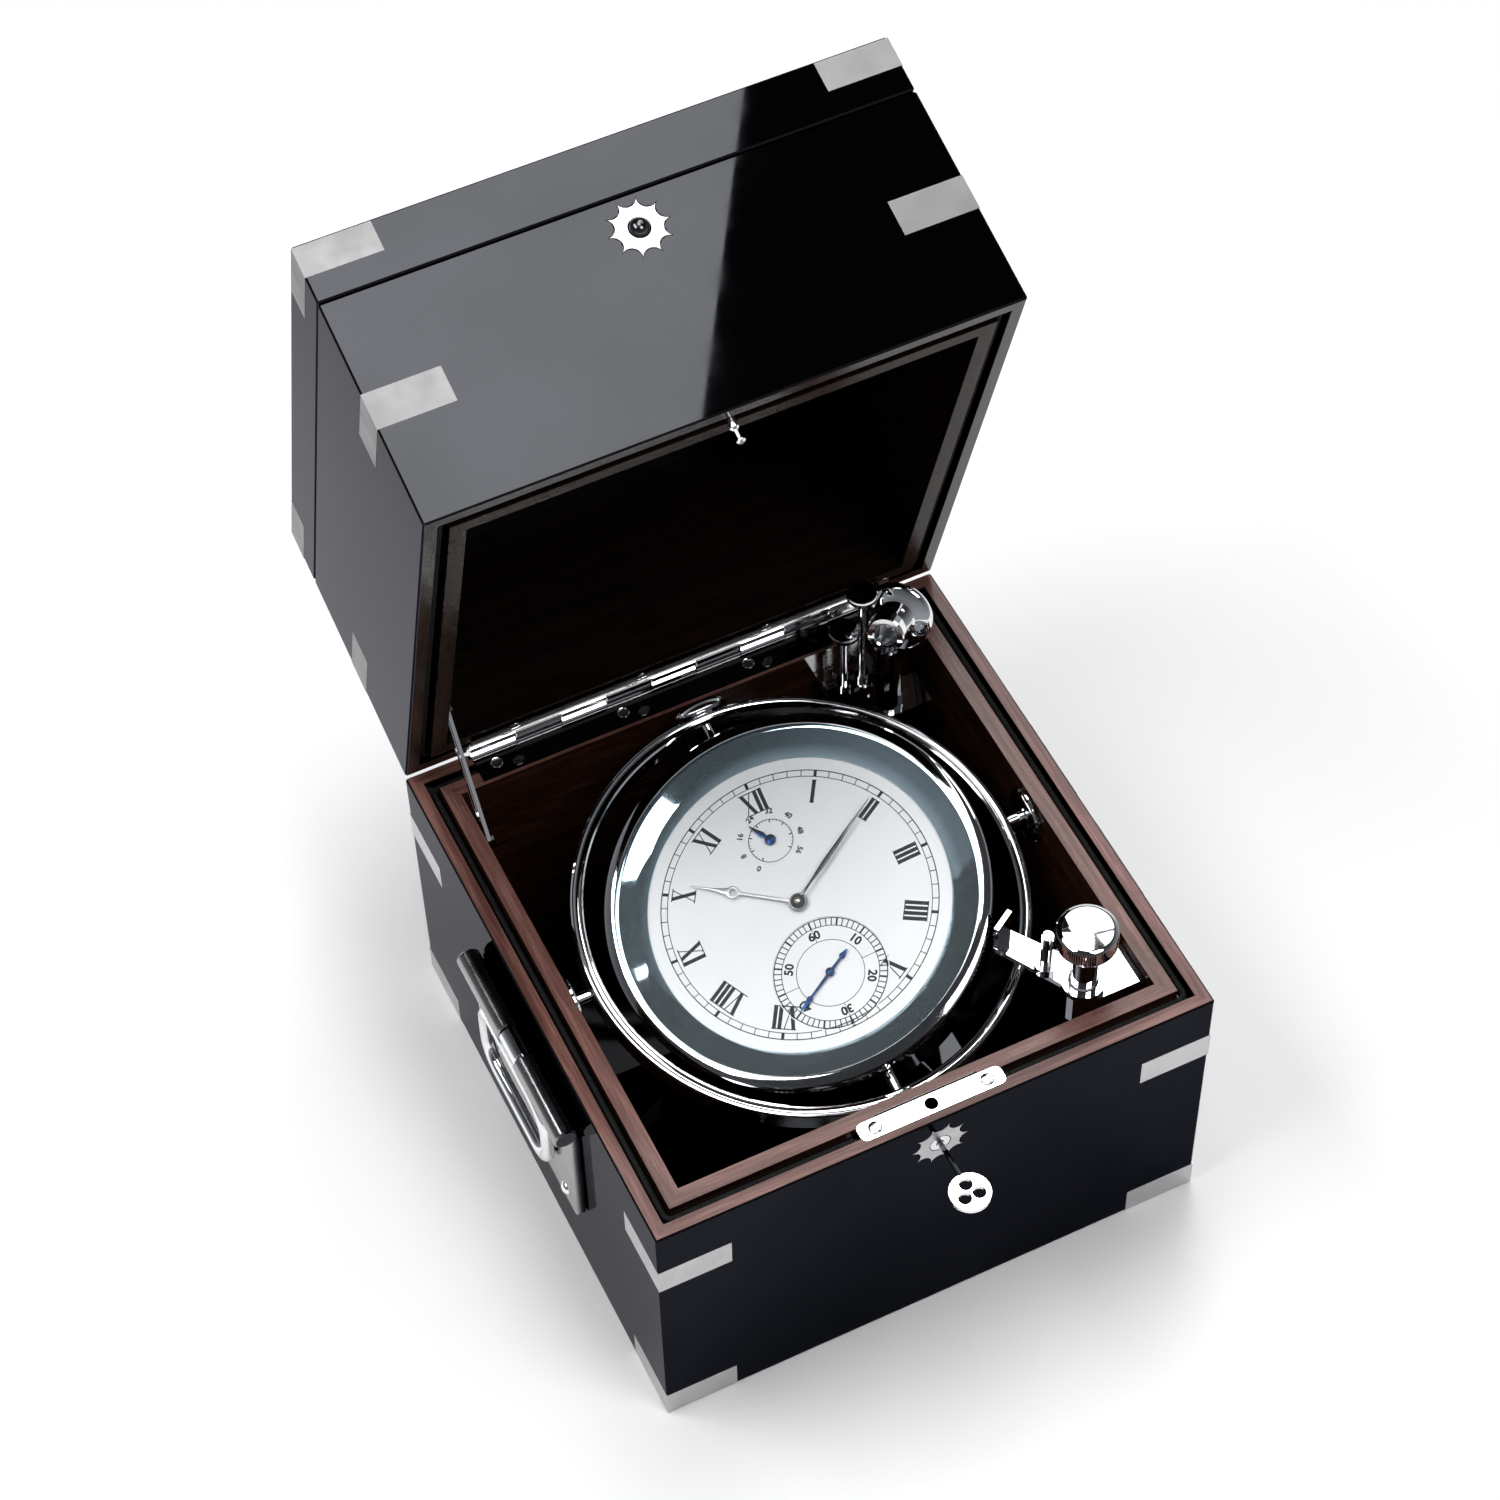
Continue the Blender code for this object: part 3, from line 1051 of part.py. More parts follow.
def make_train(dial_frame):
    top_end = TRAIN_TOP + MOVEMENT_PLATE
    low_end = TRAIN_LOW - MOVEMENT_PLATE
    centre_radius = pitch_radius(CENTRE_MODULE, CENTRE_TEETH) - FIT
    third_radius = pitch_radius(THIRD_MODULE, THIRD_TEETH) - FIT
    fourth_radius = pitch_radius(FOURTH_MODULE, FOURTH_TEETH) - FIT
    great_radius = pitch_radius(GREAT_MODULE, GREAT_TEETH) - FIT
    centre_top = DIAL_TOP + 1.5 * FIT + 6.2 * HAND_THICK
    wheel("centre_wheel", toothed(centre_radius, CENTRE_TEETH), (0, 0), level(1),
          [(level(4), pitch_radius(GREAT_MODULE, CENTRE_LEAVES) - FIT)], low_end, centre_top, dial_frame)
    wheel("third_wheel", toothed(third_radius, THIRD_TEETH), third_spot(), level(2),
          [(level(1), pitch_radius(CENTRE_MODULE, LEAVES) - FIT)], low_end, top_end, dial_frame)
    fourth = wheel("fourth_wheel", toothed(fourth_radius, FOURTH_TEETH), (0, -SECONDS_OFFSET), level(3),
                   [(level(2), pitch_radius(THIRD_MODULE, LEAVES) - FIT)], low_end, top_end, dial_frame)
    join(fourth, rod((0, 0, top_end - BURY), (0, 0, DIAL_TOP + 1.5 * FIT + HAND_THICK), PIVOT, 10))
    wheel("escape_wheel", toothed(ESCAPE_WHEEL, ESCAPE_TEETH), escape_spot(), level(4),
          [(level(3), pitch_radius(FOURTH_MODULE, LEAVES) - FIT)], low_end, top_end, dial_frame)
    fusee = wheel("fusee", toothed(great_radius, GREAT_TEETH), fusee_spot(), level(4), [],
                  BOWL_FLOOR + WINDING_SQUARE, top_end, dial_frame)
    cone_low = level(4) + WHEEL_THICK - BURY
    cone_top = cone_low + DRUM_HEIGHT * 0.75
    join(fusee, rod((0, 0, cone_low), (0, 0, cone_top), FUSEE_RADIUS, 24, FUSEE_RADIUS * 0.5))
    place = frame("barrel_axis", (*BARREL_SPOT, 0), parent=dial_frame)
    drum_low = TRAIN_LOW + 2 * MM
    barrel = piece("mainspring_barrel", rod((0, 0, drum_low), (0, 0, drum_low + DRUM_HEIGHT), BARREL_RADIUS, 32),
                   BRASS, parent=place)
    join(barrel, rod((0, 0, low_end), (0, 0, top_end), ARBOR, 10))


def spring_points():
    """Middle line of the balance spring, from its top end down."""
    points = []
    for i in range(SPRING_TURNS * SPRING_POINTS + 1):
        angle = 2 * math.pi * i / SPRING_POINTS
        height = SPRING_TOP - SPRING_PITCH * i / SPRING_POINTS
        points.append(Vector((SPRING_RADIUS * math.cos(angle), SPRING_RADIUS * math.sin(angle), height)))
    return points


def least_gap(points, radius):
    """Least free space between turns of a wire, measured between points over half a turn apart."""
    apart = SPRING_POINTS // 2 + 1
    spans = []
    for first in range(len(points) - apart):
        spans += [(points[first] - point).length for point in points[first + apart:]]
    return min(spans) - 2 * radius


def make_balance(dial_frame):
    x, y = balance_spot()
    place = frame("balance_axis", (x, y, 0), parent=dial_frame)
    low = BALANCE_TOP - BALANCE_THICK
    inner = BALANCE_RADIUS - BALANCE_RIM
    spread = math.asin(BALANCE_ARM / inner)
    rings = [circle(BALANCE_RADIUS, 32), arc((0, 0), inner, spread, math.pi - spread, 12),
             arc((0, 0), inner, math.pi + spread, 2 * math.pi - spread, 12)]
    balance = piece("balance", flat(rings, low, BALANCE_TOP), BRASS, parent=place)
    join(balance, rod((0, 0, STAFF_LOW), (0, 0, level(4) + 2 * WHEEL_THICK), PIVOT, 8))
    join(balance, rod((0, 0, level(4)), (0, 0, level(4) + WHEEL_THICK), ROLLER, 16))
    coil = spring_points()
    print("least gap between turns of the balance spring (mm):", round(least_gap(coil, SPRING_WIRE) / MM, 3))
    piece("balance_spring", tube(coil, SPRING_WIRE), STEEL, parent=place)

    arm_top = STAFF_LOW - FIT
    foot = BALANCE_RADIUS + COCK_CLEAR
    cock = piece("balance_cock", block((-COCK_HALF, -COCK_HALF, COCK_LOW), (foot + COCK_FOOT, COCK_HALF, arm_top)),
                 BRASS, parent=place, rotation=(0, 0, COCK_DIRECTION))
    join(cock, block((foot, -COCK_HALF, arm_top - BURY),
                     (foot + COCK_FOOT, COCK_HALF, TRAIN_LOW - MOVEMENT_PLATE - FIT)))
    detent_frame = frame("detent_axis", (*escape_spot(), 0), parent=dial_frame,
                         rotation=(0, 0, DETENT_DIRECTION))
    near = ESCAPE_WHEEL + 2 * FIT
    top = level(4) + WHEEL_THICK
    detent = piece("detent", block((near, -DETENT_BACK, level(4)), (near + DETENT_THICK, DETENT_FRONT, top)),
                   STEEL, parent=detent_frame)
    join(detent, block((near, -DETENT_BACK, TRAIN_LOW + FIT), (near + DETENT_FOOT, -DETENT_ROOT, top)))


# ---------------------------------------------------------------- gimbal lock

def lug_outline(x, y, radius):
    """Bracket outline: round about (x, y), straight to the right hand lining."""
    wall = ROOM_X - FIT
    return arc((x, y), radius, math.pi / 2, 3 * math.pi / 2, 10) + [(wall, y - radius), (wall, y + radius)]


def make_gimbal_lock():
    top = BASE_HEIGHT - BRACKET_TOP
    bracket = piece("gimbal_lock_bracket", flat([lug_outline(PILLAR_X, PILLAR_Y, LUG)], top - BRACKET_THICK, top),
                    CHROME)
    pillar_top = ARM_TOP + KNOB_RISE * 0.7
    join(bracket, rod((PILLAR_X, PILLAR_Y, top - BURY), (PILLAR_X, PILLAR_Y, pillar_top), LOCK_PILLAR, 20))

    reach = SWING + FINGER_CLEAR + FINGER_THICK / 2
    target = (reach * math.cos(FINGER_DIRECTION) - PILLAR_X, reach * math.sin(FINGER_DIRECTION) - PILLAR_Y)
    length = math.hypot(*target)
    place = frame("lock_arm_axis", (PILLAR_X, PILLAR_Y, 0), (0, 0, math.atan2(target[1], target[0])))
    outline = arc((0, 0), LUG, math.pi / 4, 7 * math.pi / 4, 12)
    outline += [(length + FINGER_THICK / 2, -ARM_TIP), (length + FINGER_THICK / 2, ARM_TIP)]
    arm = piece("gimbal_lock_arm", flat([outline, circle(LOCK_PILLAR + FIT, 20)], ARM_LOW, ARM_TOP), CHROME,
                parent=place)
    join(arm, block((length - FINGER_THICK / 2, -ARM_TIP, ARM_LOW),
                    (length + FINGER_THICK / 2, ARM_TIP, ARM_LOW + FINGER_HEIGHT)))
    join(arm, rod((*POST_SPOT, ARM_TOP - BURY), (*POST_SPOT, ARM_TOP + 3 * MM), POST * 1.9, 16))
    join(arm, rod((*POST_SPOT, ARM_TOP), (*POST_SPOT, ARM_TOP + POST_HEIGHT), POST, 16))
    slot = ARM_TOP + POST_HEIGHT
    cut(arm, block((POST_SPOT[0] - POST - OVERCUT, POST_SPOT[1] - 0.4 * MM, slot - 1.5 * MM),
                   (POST_SPOT[0] + POST + OVERCUT, POST_SPOT[1] + 0.4 * MM, slot + OVERCUT)))

    low = ARM_TOP + FIT
    head = ARM_TOP + KNOB_RISE
    high = head + KNOB_HEIGHT
    bore = LOCK_PILLAR + FIT
    shape = [(0, high), (KNOB - 1 * MM, high), (KNOB, high - 0.8 * MM), (KNOB, head + 1 * MM),
             (KNOB - 1.2 * MM, head), (KNOB_STEM + 0.6 * MM, head - 0.8 * MM), (KNOB_STEM, head - 2 * MM),
             (KNOB_STEM, low), (bore, low), (bore, pillar_top + FIT), (0, pillar_top + FIT)]
    turned("gimbal_lock_knob", shape, CHROME, sides=24, location=(PILLAR_X, PILLAR_Y, 0))


# ---------------------------------------------------------------- winding key and thumb screws

def make_winding_key():
    place = frame("winding_key_axis", KEY_CENTRE, (0, math.pi / 2 - KEY_LEAN, KEY_TURN))
    half = DISC_THICK / 2
    floor = PIPE_LENGTH - PIPE_DEPTH
    shape = [(0, floor), (PIPE_HOLLOW, floor), (PIPE_HOLLOW, PIPE_LENGTH), (KEY_PIPE, PIPE_LENGTH),
             (KEY_PIPE, half + 0.6 * MM), (KEY_PIPE + 1.8 * MM, half), (KEY_DISC - 1 * MM, half - 0.6 * MM),
             (KEY_DISC, 0.4 * MM), (KEY_DISC, -0.8 * MM), (KEY_DISC - 1.2 * MM, -half), (0, -half - 0.6 * MM)]
    key = turned("winding_key", shape, CHROME, sides=28, parent=place)
    side = KEY_SQUARE / 2
    cut(key, block((-side, -side, 0), (side, side, floor + OVERCUT)))

    seat = KEY_CENTRE + POST_REACH * KEY_NORMAL
    holder = piece("key_holder", flat([lug_outline(seat.x, seat.y, HOLDER_LUG)], HOLDER_Z - HOLDER_THICK, HOLDER_Z),
                   CHROME)
    saddle = seat.z - KEY_PIPE * 0.65
    join(holder, rod((seat.x, seat.y, HOLDER_Z - BURY), (seat.x, seat.y, saddle - SADDLE_HEIGHT / 2), HOLDER_POST,
                     20, HOLDER_POST * 0.85))
    join(holder, block((-SADDLE_THICK / 2, -SADDLE_WIDTH / 2, -SADDLE_HEIGHT),
                       (SADDLE_THICK / 2, SADDLE_WIDTH / 2, 0)),
         location=(seat.x, seat.y, saddle), rotation=(0, 0, KEY_TURN))
    pipe_end = KEY_CENTRE + 2 * PIPE_LENGTH * KEY_NORMAL
    cut(holder, rod(KEY_CENTRE + half * KEY_NORMAL, pipe_end, KEY_PIPE + FIT, 28))


def make_thumb_screws():
    back = ROOM_Y - FIT
    left = ROOM_X - (THUMB_LOW[0] + THUMB_HIGH[0] + SHELF_LENGTH) / 2
    right = left + SHELF_LENGTH
    shelf = piece("screw_bracket", block((left, back - SHELF_DEPTH, SHELF_TOP - SHELF_THICK),
                                         (right, back, SHELF_TOP)), CHROME)
    join(shelf, block((left, back - SHELF_THICK, SHELF_TOP - 6 * SHELF_THICK), (right, back, SHELF_TOP - BURY)))
    for name, (from_right, from_rear, height) in (("low", THUMB_LOW), ("high", THUMB_HIGH)):
        x = ROOM_X - from_right
        y = ROOM_Y - from_rear
        under = SHELF_TOP - SHELF_THICK - OVERCUT
        cut(shelf, rod((x, y, under), (x, y, SHELF_TOP + OVERCUT), THUMB_SHANK + FIT, 12))
        seat = SHELF_TOP + FIT
        top = SHELF_TOP + height + THUMB_THICK
        shape = [(0, top), (THUMB_HEAD - 0.8 * MM, top - 0.3 * MM), (THUMB_HEAD, top - 1 * MM),
                 (THUMB_HEAD, top - THUMB_THICK + 0.5 * MM), (THUMB_HEAD - 0.8 * MM, top - THUMB_THICK),
                 (THUMB_SHANK, top - THUMB_THICK - 1 * MM), (THUMB_SHANK, seat + 2 * MM),
                 (THUMB_SHANK * 1.8, seat + 2 * MM), (THUMB_SHANK * 1.8, seat), (THUMB_SHANK, seat),
                 (THUMB_SHANK, SHELF_TOP - SHELF_THICK - 1 * MM), (0, SHELF_TOP - SHELF_THICK - 1 * MM)]
        turned("thumb_screw_" + name, shape, CHROME, sides=14, location=(x, y, 0))


# ---------------------------------------------------------------- assembly

def main():
    lid_hinge = frame("lid_hinge", (0, HINGE_Y, HINGE_Z), (-LID_OPEN, 0, 0))
    lid = frame("lid_closed", (0, -HINGE_Y, -HINGE_Z), parent=lid_hinge)
    top_hinge = frame("top_hinge", (0, HINGE_Y, TOP_HINGE_Z), parent=lid)
    top = frame("top_closed", (0, -HINGE_Y, -TOP_HINGE_Z), parent=top_hinge)
    ring_frame = frame("ring_axis", (0, 0, PIVOT_Z), (RING_TILT, 0, 0))
    bowl_frame = frame("bowl_axis", rotation=(0, -BOWL_TILT, 0), parent=ring_frame)
    dial_frame = frame("dial_axis", rotation=(0, 0, -DIAL_TURN), parent=bowl_frame)

    make_base()
    make_middle(lid)
    make_top(top)
    make_hinges(lid, top)
    make_stay()
    make_lock()
    make_lid_fittings(lid)
    make_handle("left", -1)
    make_handle("right", 1)
    make_gimbals(ring_frame)
    make_bowl(bowl_frame)
    make_bezel(bowl_frame)
    make_dial(dial_frame)
    make_hands(dial_frame)
    make_plates(dial_frame)
    make_train(dial_frame)
    make_balance(dial_frame)
    make_gimbal_lock()
    make_winding_key()
    make_thumb_screws()


clear_scene()
PARTS = make_collection("marine_chronometer")
CUTTERS = make_collection("cutters")
main()
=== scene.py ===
"""Marine chronometer in its open box: finishes, turned parts, dial printing, inlays, screws and light."""
import math

import bmesh
import bpy
from mathutils import Matrix, Vector


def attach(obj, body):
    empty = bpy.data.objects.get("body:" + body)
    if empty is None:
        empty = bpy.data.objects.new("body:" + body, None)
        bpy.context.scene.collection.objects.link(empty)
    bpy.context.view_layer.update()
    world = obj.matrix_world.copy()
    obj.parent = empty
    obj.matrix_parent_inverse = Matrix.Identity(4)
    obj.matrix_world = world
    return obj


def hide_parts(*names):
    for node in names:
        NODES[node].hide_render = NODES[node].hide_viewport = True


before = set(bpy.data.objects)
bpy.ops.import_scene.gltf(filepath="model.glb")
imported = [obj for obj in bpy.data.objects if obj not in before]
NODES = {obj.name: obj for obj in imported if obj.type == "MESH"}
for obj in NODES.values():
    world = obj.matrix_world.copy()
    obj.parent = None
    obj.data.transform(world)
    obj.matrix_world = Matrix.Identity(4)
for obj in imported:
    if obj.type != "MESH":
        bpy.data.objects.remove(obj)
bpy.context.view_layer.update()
MM = 0.001
DEG = math.pi / 180
HOME = Matrix.Identity(4)
shift = Matrix.Translation


def spin(degrees, axis):
    return Matrix.Rotation(degrees * DEG, 4, axis)


# Box, in closed position
HALF = 95 * MM
BASE_TOP = 109 * MM
MIDDLE_LOW = 109.4 * MM
RIM_STRIP = 4.5 * MM
GROOVE = 3.7 * MM
GROOVE_DEPTH = 4 * MM

# Hinges: the lid stands open
HINGE = Vector((0, 95.6, 110.9)) * MM
LID = shift(HINGE) @ spin(-73.8, "X") @ shift(-HINGE)
LID_BACK = LID.inverted()

# Gimbals: ring about X, bowl about the ring's Y, dial turned in the bowl
PIVOT = Vector((0, 0, 97.9)) * MM
RING = shift(PIVOT) @ spin(10.7, "X")
BOWL = RING @ spin(-16.1, "Y")
DIAL = BOWL @ spin(-3.2, "Z")
RING_OUTER = 73.2 * MM
RING_INNER = 69.2 * MM
ROOM = 81.3 * MM
FLANGE_FACE = ROOM - 0.3 * MM
BEZEL = 62.1 * MM
BEZEL_EDGE = 9.6
GLASS_OPENING = 58.1 * MM
CRYSTAL_TOP = 10.2 * MM
CRYSTAL_LOW = 8.8 * MM
BOWL_RADIUS = 56 * MM
BOWL_DEPTH = 48 * MM
DIAL_OPENING = 48.8 * MM
DIAL_RADIUS = 49.7 * MM
DIAL_TOP = 4 * MM
SECONDS = Vector((0, -25.3, 0)) * MM
SECONDS_RINGS = (18.1, 15.6, 10.9)
RESERVE = Vector((0, 23.4, 0)) * MM
RESERVE_RING = 7.2
WELL_DEPTH = 0.3
RESERVE_SWEEP = 135
RESERVE_HALF = 28

# Printing and hands
INK = 0.03 * MM
TRACK_OUTER = 44.6 * MM
TRACK_INNER = 42.5 * MM
NUMERAL_FOOT = 33.6 * MM
NUMERAL_HEIGHT = 7.8 * MM
SMALL_HAND_LOW = 4.45 * MM
HOUR_LOW = 5.44 * MM
MINUTE_LOW = 6.52 * MM
HOUR_ANGLE = (10 + 9.667 / 60) * 30
MINUTE_ANGLE = 9.667 * 6
SECONDS_ANGLE = 240
RESERVE_ANGLE = -32

# Gimbal lock, key and small knobs
LOCK_PILLAR = Vector((63.5, -68.5, 0)) * MM
ARM_TOP = 106.5 * MM
KEY_CENTRE = Vector((70, 70.7, 127)) * MM
KEY_TURN = 225.4
KEY_LEAN = 22.3
THUMB_LOW = Vector((51.4, 72, 99)) * MM
THUMB_HIGH = Vector((58.4, 73.3, 99)) * MM

# Lock and button
KEY_Z = 95.2 * MM
BUTTON_Z = 172.4 * MM
LOCK_Y = -88.7 * MM

# Handles
HANDLE_HALF = 38 * MM
HANDLE_FOOT = 36 * MM
HANDLE_TOP = 84 * MM
HANDLE_FACE = 95.3 * MM
HANDLE_THICK = 3 * MM
ROLL = 4 * MM
ROLL_AXIS = Vector((99.7, 0, 86)) * MM

BAIL_WIRE = 2.2
BAIL_GAP = 0.6

# Trim of the box
SEAL_RADIUS = 1.1 * MM
SEAL_GAP = 27
HINGE_SCREW_Y = 87.6 * MM
INLAY = 24.4 * MM
INLAY_THICK = 0.35 * MM
INLAY_PROUD = 0.06 * MM

# Dark and light tone of the rosewood on the rims; the lid's pair is the same wood darkened as painted shade
WOOD_RIM = ((0.075, 0.03, 0.024), (0.25, 0.125, 0.105))
WOOD_LID_PAINTED_SHADE = ((0.014, 0.008, 0.006), (0.045, 0.026, 0.019))

# Camera, found from the picture's vanishing lines
CAMERA_PLACE = Vector((-0.3086, -0.6387, 1.1370))
CAMERA_TURN = 0.4292
CAMERA_DOWN = 0.932
CAMERA_ROLL = -0.0289
CAMERA_LENS = 95.29


# ------------------------------------------------------------------ meshes

def new_object(name, data):
    item = bpy.data.objects.new(name, data)
    bpy.context.scene.collection.objects.link(item)
    return item


def finish_mesh(bm, sharp=35 * DEG):
    """The mesh with soft shading, and hard edges above an angle."""
    bmesh.ops.recalc_face_normals(bm, faces=bm.faces)
    mesh = bpy.data.meshes.new("form")
    bm.to_mesh(mesh)
    bm.free()
    mesh.polygons.foreach_set("use_smooth", [True] * len(mesh.polygons))
    mesh.set_sharp_from_angle(angle=sharp)
    return mesh


def lathe(profile, sides=96, ridges=None, sharp=30 * DEG):
    """A profile of (radius, height) in mm turned round Z.

    Ridges hold the first and the last knurled point and the depth of the knurls."""
    bm = bmesh.new()
    rows = []
    for index, (radius, height) in enumerate(profile):
        if radius == 0:
            rows.append([bm.verts.new((0, 0, height * MM))])
            continue
        row = []
        for side in range(sides):
            reach = radius
            if ridges and ridges[0] <= index <= ridges[1] and side % 2:
                reach -= ridges[2]
            angle = 2 * math.pi * side / sides
            row.append(bm.verts.new((reach * MM * math.cos(angle), reach * MM * math.sin(angle),
                                     height * MM)))
        rows.append(row)
    pairs = list(zip(rows, rows[1:]))
    if profile[0][0] > 0 or profile[-1][0] > 0:
        pairs.append((rows[-1], rows[0]))
    for upper, lower in pairs:
        for side in range(sides):
            corner = [upper[side % len(upper)], upper[(side + 1) % len(upper)],
                      lower[(side + 1) % len(lower)], lower[side % len(lower)]]
            corner = list(dict.fromkeys(corner))
            if len(corner) > 2:
                bm.faces.new(corner)
    return finish_mesh(bm, sharp)


def arc(centre, radius, start, end, steps):
    """Points on an arc, angles in degrees, both ends included."""
    return [(centre[0] + radius * math.cos((start + (end - start) * i / steps) * DEG),
             centre[1] + radius * math.sin((start + (end - start) * i / steps) * DEG))
            for i in range(steps + 1)]


def rounded(width, height, radius, steps=6, centre=(0, 0)):
    """Outline of a rectangle with round corners."""
    points = []
    for quarter in range(4):
        x = (1 if quarter in (0, 3) else -1) * (width / 2 - radius) + centre[0]
        y = (1 if quarter in (0, 1) else -1) * (height / 2 - radius) + centre[1]
        points += arc((x, y), radius, quarter * 90, quarter * 90 + 90, steps)
    return points


def sheet_metal(outlines, low, high, edge=0.0, sharp=30 * DEG):
    """A flat piece in mm from outlines, holes included, with its edges eased by edge."""
    curve = bpy.data.curves.new("outline", "CURVE")
    curve.dimensions = "2D"
    curve.fill_mode = "BOTH"
    curve.extrude = (high - low) / 2 * MM - edge * MM
    curve.bevel_depth = edge * MM
    curve.bevel_resolution = 1
    curve.offset = -edge * MM
    for outline in outlines:
        spline = curve.splines.new("POLY")
        spline.points.add(len(outline) - 1)
        for point, (x, y) in zip(spline.points, outline):
            point.co = (x * MM, y * MM, 0, 1)
        spline.use_cyclic_u = True
    return from_curve(curve, shift((0, 0, (low + high) / 2 * MM)), sharp)


def from_curve(curve, matrix=HOME, sharp=30 * DEG):
    """The mesh of a curve, which is used up."""
    holder = new_object("outline", curve)
    mesh = bpy.data.meshes.new_from_object(holder.evaluated_get(bpy.context.evaluated_depsgraph_get()))
    bpy.data.objects.remove(holder)
    bm = bmesh.new()
    bm.from_mesh(mesh)
    bpy.data.meshes.remove(mesh)
    bmesh.ops.remove_doubles(bm, verts=bm.verts, dist=1e-7)
    bm.transform(matrix)
    return finish_mesh(bm, sharp)


def wire(points, radius, cyclic=False, resolution=4):
    """A round wire through points in metres."""
    curve = bpy.data.curves.new("wire", "CURVE")
    curve.dimensions = "3D"
    curve.bevel_depth = radius
    curve.bevel_resolution = resolution
    curve.use_fill_caps = True
    spline = curve.splines.new("POLY")
    spline.points.add(len(points) - 1)
    for point, place in zip(spline.points, points):
        point.co = (*place, 1)
    spline.use_cyclic_u = cyclic
    return from_curve(curve, sharp=60 * DEG)


def bars(quads, low, high):
    """Flat bars of four (x, y) corners each, in mm, as one thin mesh."""
    bm = bmesh.new()
    for quad in quads:
        under = [bm.verts.new((x * MM, y * MM, low)) for x, y in quad]
        over = [bm.verts.new((x * MM, y * MM, high)) for x, y in quad]
        bm.faces.new(under)
        bm.faces.new(over)
        for i in range(4):
            j = (i + 1) % 4
            bm.faces.new((under[i], under[j], over[j], over[i]))
    return finish_mesh(bm)


def merged(meshes):
    bm = bmesh.new()
    for mesh in meshes:
        bm.from_mesh(mesh)
        bpy.data.meshes.remove(mesh)
    return finish_mesh(bm)


def moved(mesh, matrix):
    mesh.transform(matrix)
    return mesh


def words(text, size, place, angle, low, high):
    """Printed figures, upright at angle 0, turned clockwise by angle, in mm and radians."""
    curve = bpy.data.curves.new("figures", "FONT")
    curve.body = text
    curve.size = size * MM
    curve.align_x = "CENTER"
    curve.align_y = "CENTER"
    curve.resolution_u = 3
    curve.offset = 0.035 * size * MM
    curve.extrude = (high - low) / 2
    middle = shift((place[0] * MM, place[1] * MM, (low + high) / 2))
    return from_curve(curve, middle @ Matrix.Rotation(-angle, 4, "Z"))


def add(name, mesh, material, body, matrix=HOME, stands_for=()):
    """A piece in place, riding on its body."""
    mesh.materials.clear()
    mesh.materials.append(material)
    piece = new_object(name, mesh)
    piece.matrix_world = matrix
    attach(piece, body)
    if stands_for:
        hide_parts(*stands_for)
    return piece


# ------------------------------------------------------------------ node helpers and groups

class Nodes:
    """Short names for building a node tree."""

    def __init__(self, tree):
        self.tree = tree

    def add(self, kind, **values):
        node = self.tree.nodes.new(kind)
        for key, value in values.items():
            setattr(node, key, value)
        return node

    def link(self, source, target):
        self.tree.links.new(source, target)

    def feed(self, socket, value):
        if isinstance(value, bpy.types.NodeSocket):
            self.link(value, socket)
        elif value is not None:
            socket.default_value = value

    def math(self, operation, first, second=None):
        node = self.add("ShaderNodeMath", operation=operation)
        for socket, value in zip(node.inputs, (first, second)):
            self.feed(socket, value)
        return node.outputs[0]

    def times(self, first, second):
        return self.math("MULTIPLY", first, second)

    def mix(self, factor, first, second):
        node = self.add("ShaderNodeMix", data_type="RGBA")
        self.feed(node.inputs["Factor"], factor)
        self.feed(node.inputs[6], first)
        self.feed(node.inputs[7], second)
        return node.outputs[2]

    def noise(self, vector, scale, detail=3.0, roughness=0.5, distortion=0.0):
        node = self.add("ShaderNodeTexNoise")
        self.feed(node.inputs["Vector"], vector)
        self.feed(node.inputs["Scale"], scale)
        node.inputs["Detail"].default_value = detail
        node.inputs["Roughness"].default_value = roughness
        node.inputs["Distortion"].default_value = distortion
        return node.outputs["Fac"]

    def span(self, value, low, high, to_low=0.0, to_high=1.0):
        node = self.add("ShaderNodeMapRange")
        for socket, item in zip(node.inputs, (value, low, high, to_low, to_high)):
            self.feed(socket, item)
        return node.outputs[0]

    def split(self, vector):
        node = self.add("ShaderNodeSeparateXYZ")
        self.feed(node.inputs[0], vector)
        return node.outputs

    def join(self, x, y, z):
        node = self.add("ShaderNodeCombineXYZ")
        for socket, value in zip(node.inputs, (x, y, z)):
            self.feed(socket, value)
        return node.outputs[0]

    def group(self, tree, **inputs):
        node = self.add("ShaderNodeGroup")
        node.node_tree = tree
        for key, value in inputs.items():
            self.feed(node.inputs[key.replace("_", " ")], value)
        return node.outputs


def new_group(name, inputs, outputs):
    tree = bpy.data.node_groups.new(name, "ShaderNodeTree")
    for label, kind, value in inputs:
        socket = tree.interface.new_socket(label, in_out="INPUT", socket_type="NodeSocket" + kind)
        if value is not None:
            socket.default_value = value
    for label, kind in outputs:
        tree.interface.new_socket(label, in_out="OUTPUT", socket_type="NodeSocket" + kind)
    nodes = Nodes(tree)
    return tree, nodes, nodes.add("NodeGroupInput").outputs, nodes.add("NodeGroupOutput").inputs


